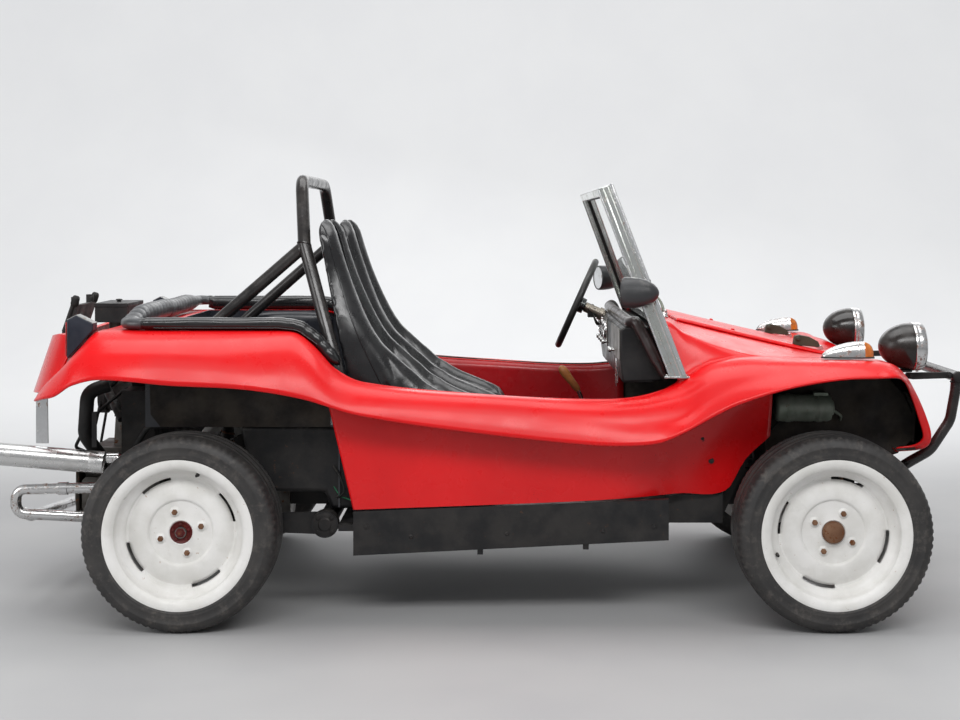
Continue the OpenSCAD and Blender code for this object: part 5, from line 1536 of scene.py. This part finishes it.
header = [(-300, -300, 299.7), (-300, -300, 262), (-350, -400, 290), (-583, -450, 312),
    (-583, -450, 390), (-300, -450, 395), (-236, -450, 430), (-236, -450, 490), (-289, -450, 490)]
header_left = [(-300, 300, 299.7), (-300, 300, 262), (-340, 300, 235), (-530, 270, 235),
    (-556, 200, 240), (-556, -380, 290), (-562, -440, 314)]
pipes = [bar(header, 35, 40, 24, 9), bar(header_left, 34, 40, 22, 9)]
for side in (-1, 1):
    pipes.append(turned_mesh([(17, 0), (34, 0), (34, 8), (17, 8)], P(-300, side * 300, 291), (0, 0, 1), 24))
pipes.append(turned_mesh([(17, -16), (21, -15), (21, 15), (17, 16)], P(-430, -450, 392.5), (1, 0, 0.02), 24))
hd = piece("exhaust_pipes", *joined(pipes), CHROME_OLD, angle=50)
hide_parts("exhaust_header")
can = [(17, -290), (30, -291), (36, -296), (36.2, -340), (35.6, -342), (36.2, -344), (36, -640),
    (36.4, -664), (35.4, -667), (33.6, -665), (33.4, -600), (12, -598), (0, -598)]
TAIL_TILT = Vector((1, 0, -0.085)).normalized()
sil = turned("silencer_can", [(r, h + 478) for r, h in can],
    P(-478, -450, 490), TAIL_TILT, BRUSHED, steps=56, angle=40)
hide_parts("tail_silencer")
piece("silencer_straps", *joined([box_mesh(-338, -322, -452, -448, 525, 640)]), BLACK_WORN, bevel=0.6)
piece("tail_bracket", *joined([slab_mesh([(-522, 536), (-482, 536), (-484, 684), (-522, 684)], -440, -434)]),
    ALU, bevel=1)
paint_node("gearbox", CAST, 4)
bands = []
for x, r in ((-40, 88), (60, 92), (150, 88), (230, 82)):
    bands.append(turned_mesh([(84, -7), (r, -5), (r, 5), (84, 7)], P(x, 0, 300), (1, 0, 0), 40))
for x in (-110, -80):
    bands.append(turned_mesh([(149, -6), (156, -4), (156, 4), (149, 6)], P(x, 0, 310), (1, 0, 0), 48))
piece("gearbox_flanges", *joined(bands + [both_sides([turned_mesh([(38, 0), (60, 4), (62, 50), (58, 66),
    (44, 74), (38, 76)], P(0, -40, 300), (0, -1, 0), 32),
                                   turned_mesh([(75, 0), (79, 3), (79, 12), (75, 15)], P(0, -500, 300),
                                       (0, -1, 0), 40)])]), CAST, angle=35)

# ---------------------------------------------------------------- chassis and suspension
for name in ("floor_pan", "side_boxes", "rear_suspension"):
    paint_node(name, BLACK_WORN, 3)
paint_node("front_beam", BLACK_WORN, 1.2)
for name in ("right_knuckle", "left_knuckle"):
    paint_node(name, BLACK_METAL, 1)
paint_node("fuel_tank", BLACK_METAL, 16)
bits = []
for x in (560, 1460):
    bits.append(bolt_mesh(P(x, -598, 300), (0, -1, 0), 7, 4))
for x, z in ((916, 224), (1247, 240)):
    bits.append(box_mesh(x - 9, x + 9, -592, -578, z - 14, z + 8))
for x in (700, 1000, 1300):
    bits.append(turned_mesh([(0, 3), (5, 3), (7, 0)], P(x, -598, 262 + (x - 519) * 0.03), (0, -1, 0), 14))
piece("side_box_fixings", *both_sides(bits), BLACK_WORN, bevel=1)
susp = [turned_mesh([(0, 46), (18, 46), (22, 43), (34, 43), (42, 40), (43, 34), (43, 0)], P(426, -520, 298),
    (0, -1, 0), 40)]
for a in (45, 135, 225, 315):
    w = math.radians(a)
    susp.append(bolt_mesh(P(426 + 31 * math.cos(w), -563, 298 + 31 * math.sin(w)), (0, -1, 0), 5.5, 5))
for x, z in ((110, 288), (110, 312), (140, 300)):
    susp.append(bolt_mesh(P(x, -536, z), (0, -1, 0), 8, 7))
piece("suspension_covers", *both_sides(susp), BLACK_METAL, angle=35, bevel=0.8)


def damper(a, b, r):
    a, b = P(*a), P(*b)
    axis = (b - a).normalized()
    h = (b - a).length * 1000
    body = [(0, 0), (13, 0), (15, 6), (r - 3, 22), (r - 2, h * 0.5), (9, h * 0.52), (9, h * 0.56),
        (r, h * 0.56), (r, h - 16), (14, h - 6), (12, h), (0, h)]
    coil = []
    turns = 7
    for k in range(turns * 22 + 1):
        t = k / (turns * 22)
        w = 2 * math.pi * t * turns
        e1 = axis.orthogonal().normalized()
        e2 = axis.cross(e1)
        coil.append(a + axis * (h * (0.12 + 0.70 * t)) / 1000
                    + (e1 * math.cos(w) + e2 * math.sin(w)) * (r - 1) / 1000)
    return turned_mesh(body, a, axis, 32), tube_mesh(coil, 4.2, 8)


front_d = damper((2069.6, -384, 305), (2079.6, -384, 520), 22)
rear_d = damper((-61.3, -452, 262), (-61.3, -440, 560), 23)
dm = piece("damper_bodies", *both_sides([front_d[0], rear_d[0]]), BLACK_METAL, angle=35)
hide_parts("shock_absorbers")
piece("damper_springs", *both_sides([front_d[1], rear_d[1]]), RUSTY, angle=60)
beam_bits = []
for z in (230, 372):
    for y in (-150, -300):
        beam_bits.append(turned_mesh([(25, -9), (29, -7), (29, 7), (25, 9)], P(2120, y, z), (0, 1, 0), 30))
    beam_bits.append(turned_mesh([(21, 0), (24, 2), (24, 10), (17, 14), (0, 15)], P(2120, -452, z),
        (0, -1, 0), 30))
beam_bits.append(tube_mesh(mm([(2030, -110, 262), (1890, -505, 262)]), 8, 14))
beam_bits.append(slab_mesh([(1985, 292), (2045, 292), (2045, 308), (1985, 308)], -560, -545))
piece("beam_fittings", *both_sides(beam_bits), BLACK_METAL, angle=35, bevel=0.6)

# Wing liners, the box behind the tub, and the small tank ahead of it.
liner = [(1842, 570), (1842, 800), (1990, 800), (2134, 796), (2190, 786), (2232, 752), (2290, 692),
    (2322, 620), (2318, 545), (2270, 500), (2200, 478), (2100, 470), (1960, 468), (1842, 468)]
piece("wing_liners", *both_sides([slab_mesh(liner, -414, -409),
    slab_mesh([(1836, 400), (1842, 400), (1842, 612), (1836, 612)], -440, -330),
                   slab_mesh([(1836, 612), (1842, 612), (1842, 800), (1836, 800)], -500, -330),
                   slab_mesh([(2316, 535), (2324, 535), (2330, 640), (2300, 700), (2292, 700),
                       (2318, 640)], -414, -200)]), UNDERSIDE, bevel=1.5)
piece("seat_box_back", *both_sides([slab_mesh([(150, 600), (190, 425), (210, 392), (420, 392),
    (440, 338), (560, 338), (560, 600)], -512, -360)]), BLACK_WORN, bevel=12)
can_ax = P(1862, -460, 654)
res = [turned_mesh([(0, 0), (30, 0), (40, 4), (44, 10), (44, 58), (42.5, 60), (42.5, 64), (44, 66),
    (44, 120), (42.5, 122), (42.5, 126), (44, 128), (44, 168), (40, 178), (26, 182), (22, 188), (0, 189)],
    can_ax, (1, 0, 0), 48),
       turned_mesh([(44.4, 36), (46, 36), (46, 50), (44.4, 50)], can_ax, (1, 0, 0), 48),
       turned_mesh([(44.4, 136), (46, 136), (46, 150), (44.4, 150)], can_ax, (1, 0, 0), 48),
       box_mesh(1985, 2030, -480, -412, 694, 704),
       tube_mesh(spline(mm([(2050, -460, 646), (2075, -452, 628), (2082, -418, 610)]), 6), 5, 10)]
piece("fluid_canister", *joined(res), GREEN, angle=40)
tank = [box_mesh(1838, 2092, -342, 342, 655, 660), box_mesh(1900, 1925, -334, 334, 748, 753),
    box_mesh(2005, 2030, -334, 334, 748, 753)]
piece("tank_straps", *joined(tank), RUSTY, bevel=1)
lines = [bar([(445, -470, 395), (462, -520, 372), (490, -545, 400), (470, -540, 450), (440, -500, 480),
    (430, -470, 470)], 7, 30, 10),
         bar([(1842, -418, 560), (1880, -420, 600), (1930, -418, 620), (1990, -416, 690)], 7, 30, 10)]
piece("clipped_cables", *both_sides(lines), RUBBER, angle=60)
piece("green_wire", *joined([bar([(430, -505, 440), (455, -512, 400), (470, -520, 380), (520, -540, 366)], 4,
    20, 8)]), WIRE_GREEN, angle=60)

# Rubber bonnet catches with their chrome hooks.
catch, hooks = [], []
lid_p = guide(lid_line, 1985)
zz = lid_p.z + 12
for side in (-1, 1):
    y = side * 270
    catch.append(slab_mesh([(1958, zz + 10), (1962, zz + 34), (1978, zz + 38), (2010, zz + 32),
        (2040, zz + 16), (2048, zz - 4), (1990, zz + 2), (1962, zz + 1)], y - 13, y + 13))
    catch.append(tube_mesh([P(1972, y - 20, zz + 26), P(1972, y + 20, zz + 26)], 7, 14))
    hooks.append(slab_mesh([(2036, zz - 6), (2036, zz + 2), (2052, zz + 4), (2058, zz - 10), (2050, zz - 12)],
        y - 12, y + 12))
    hooks.append(tube_mesh([P(2044, y - 13, zz - 1), P(2044, y + 13, zz - 1)], 3.2, 12))
piece("bonnet_catches", *joined(catch), MOSSY, body="bonnet", bevel=2)
piece("bonnet_catch_hooks", *joined(hooks), CHROME_OLD, body="bonnet", bevel=0.8)
piece("side_panel_bolts", *both_sides([bolt_mesh(P(1618, -543, 566), (0, -1, 0.15), 6, 5),
    bolt_mesh(P(1648, -530, 494), (0, -1, 0.15), 6, 5)]), BLACK_METAL)


# ---------------------------------------------------------------- stage
def stage():
    lo, hi = CAD_BOX
    # Floor and backdrop in one sheet, curving up far behind the car.
    depth = [-14, 3.4] + [3.4 + 3.2 * math.sin(math.radians(a)) for a in range(10, 91, 10)]
    rise = [0, 0] + [3.2 - 3.2 * math.cos(math.radians(a)) for a in range(10, 91, 10)]
    depth.append(6.6)
    rise.append(12)
    verts = [(x, y, z) for y, z in zip(depth, rise) for x in (-16, 16)]
    me = bpy.data.meshes.new("floor")
    me.from_pydata(verts, [], [(2 * k, 2 * k + 1, 2 * k + 3, 2 * k + 2) for k in range(len(depth) - 1)])
    me.polygons.foreach_set("use_smooth", [True] * len(me.polygons))
    floor = bpy.data.objects.new("floor", me)
    scene.collection.objects.link(floor)
    m = Nodes("floor")
    tone = m.mix(m.ramp(m.noise(1.3, 3), 0.3, 0.7), (0.40, 0.40, 0.40), (0.37, 0.37, 0.375))
    # The far sweep glows softly, like a lit studio wall.
    glow = m.ramp(m.axis(1), 1.0, 4.6, 0.0, 0.50)
    m.finish(Base_Color=tone, Roughness=0.6, Emission_Color=(0.97, 0.985, 1.0), Emission_Strength=glow)
    me.materials.append(m.mat)
    world = bpy.data.worlds.new("studio")
    scene.world = world
    world.use_nodes = True
    t = world.node_tree
    bg = t.nodes["Background"]
    path = t.nodes.new("ShaderNodeLightPath")
    seen = t.nodes.new("ShaderNodeMath")
    seen.operation = "MAXIMUM"
    t.links.new(path.outputs["Is Camera Ray"], seen.inputs[0])
    t.links.new(path.outputs["Is Transmission Ray"], seen.inputs[1])
    mix = t.nodes.new("ShaderNodeMapRange")
    mix.inputs["To Min"].default_value, mix.inputs["To Max"].default_value = 0.40, 0.80
    t.links.new(seen.outputs[0], mix.inputs["Value"])
    t.links.new(mix.outputs["Result"], bg.inputs["Strength"])
    bg.inputs["Color"].default_value = (0.97, 0.98, 1, 1)

    def lamp(name, where, target, size, power, color=(1, 1, 1)):
        d = bpy.data.lights.new(name, "AREA")
        d.shape, d.size, d.size_y, d.energy, d.color = "RECTANGLE", size[0], size[1], power, color
        ob = bpy.data.objects.new(name, d)
        ob.location = where
        ob.rotation_mode = "QUATERNION"
        ob.rotation_quaternion = (Vector(target) - Vector(where)).to_track_quat("-Z", "Y")
        scene.collection.objects.link(ob)
    lamp("key", (0.5, -4.8, 4.4), (0, 0, 0.5), (6, 1.4), 225)
    lamp("top", (0, 0, 4.8), (0, 0, 0), (5, 3), 155)
    lamp("fill", (-4.5, -3.0, 2.0), (0, 0, 0.6), (2.5, 2.5), 60)
    lamp("back", (1, 5, 3.4), (0, 0, 0.6), (6, 2), 60)
    cam = bpy.data.cameras.new("camera")
    cam.lens, cam.sensor_width = 1507 / 960 * 36, 36
    cam.shift_x, cam.shift_y = -20 / 960, -138 / 960
    ob = bpy.data.objects.new("camera", cam)
    ob.location = (X0 + 0.978, -5.31, 1.2515)
    ob.rotation_euler = (math.radians(90), 0, 0)
    scene.collection.objects.link(ob)
    scene.camera = ob
    scene.view_settings.view_transform = "Standard"


stage()
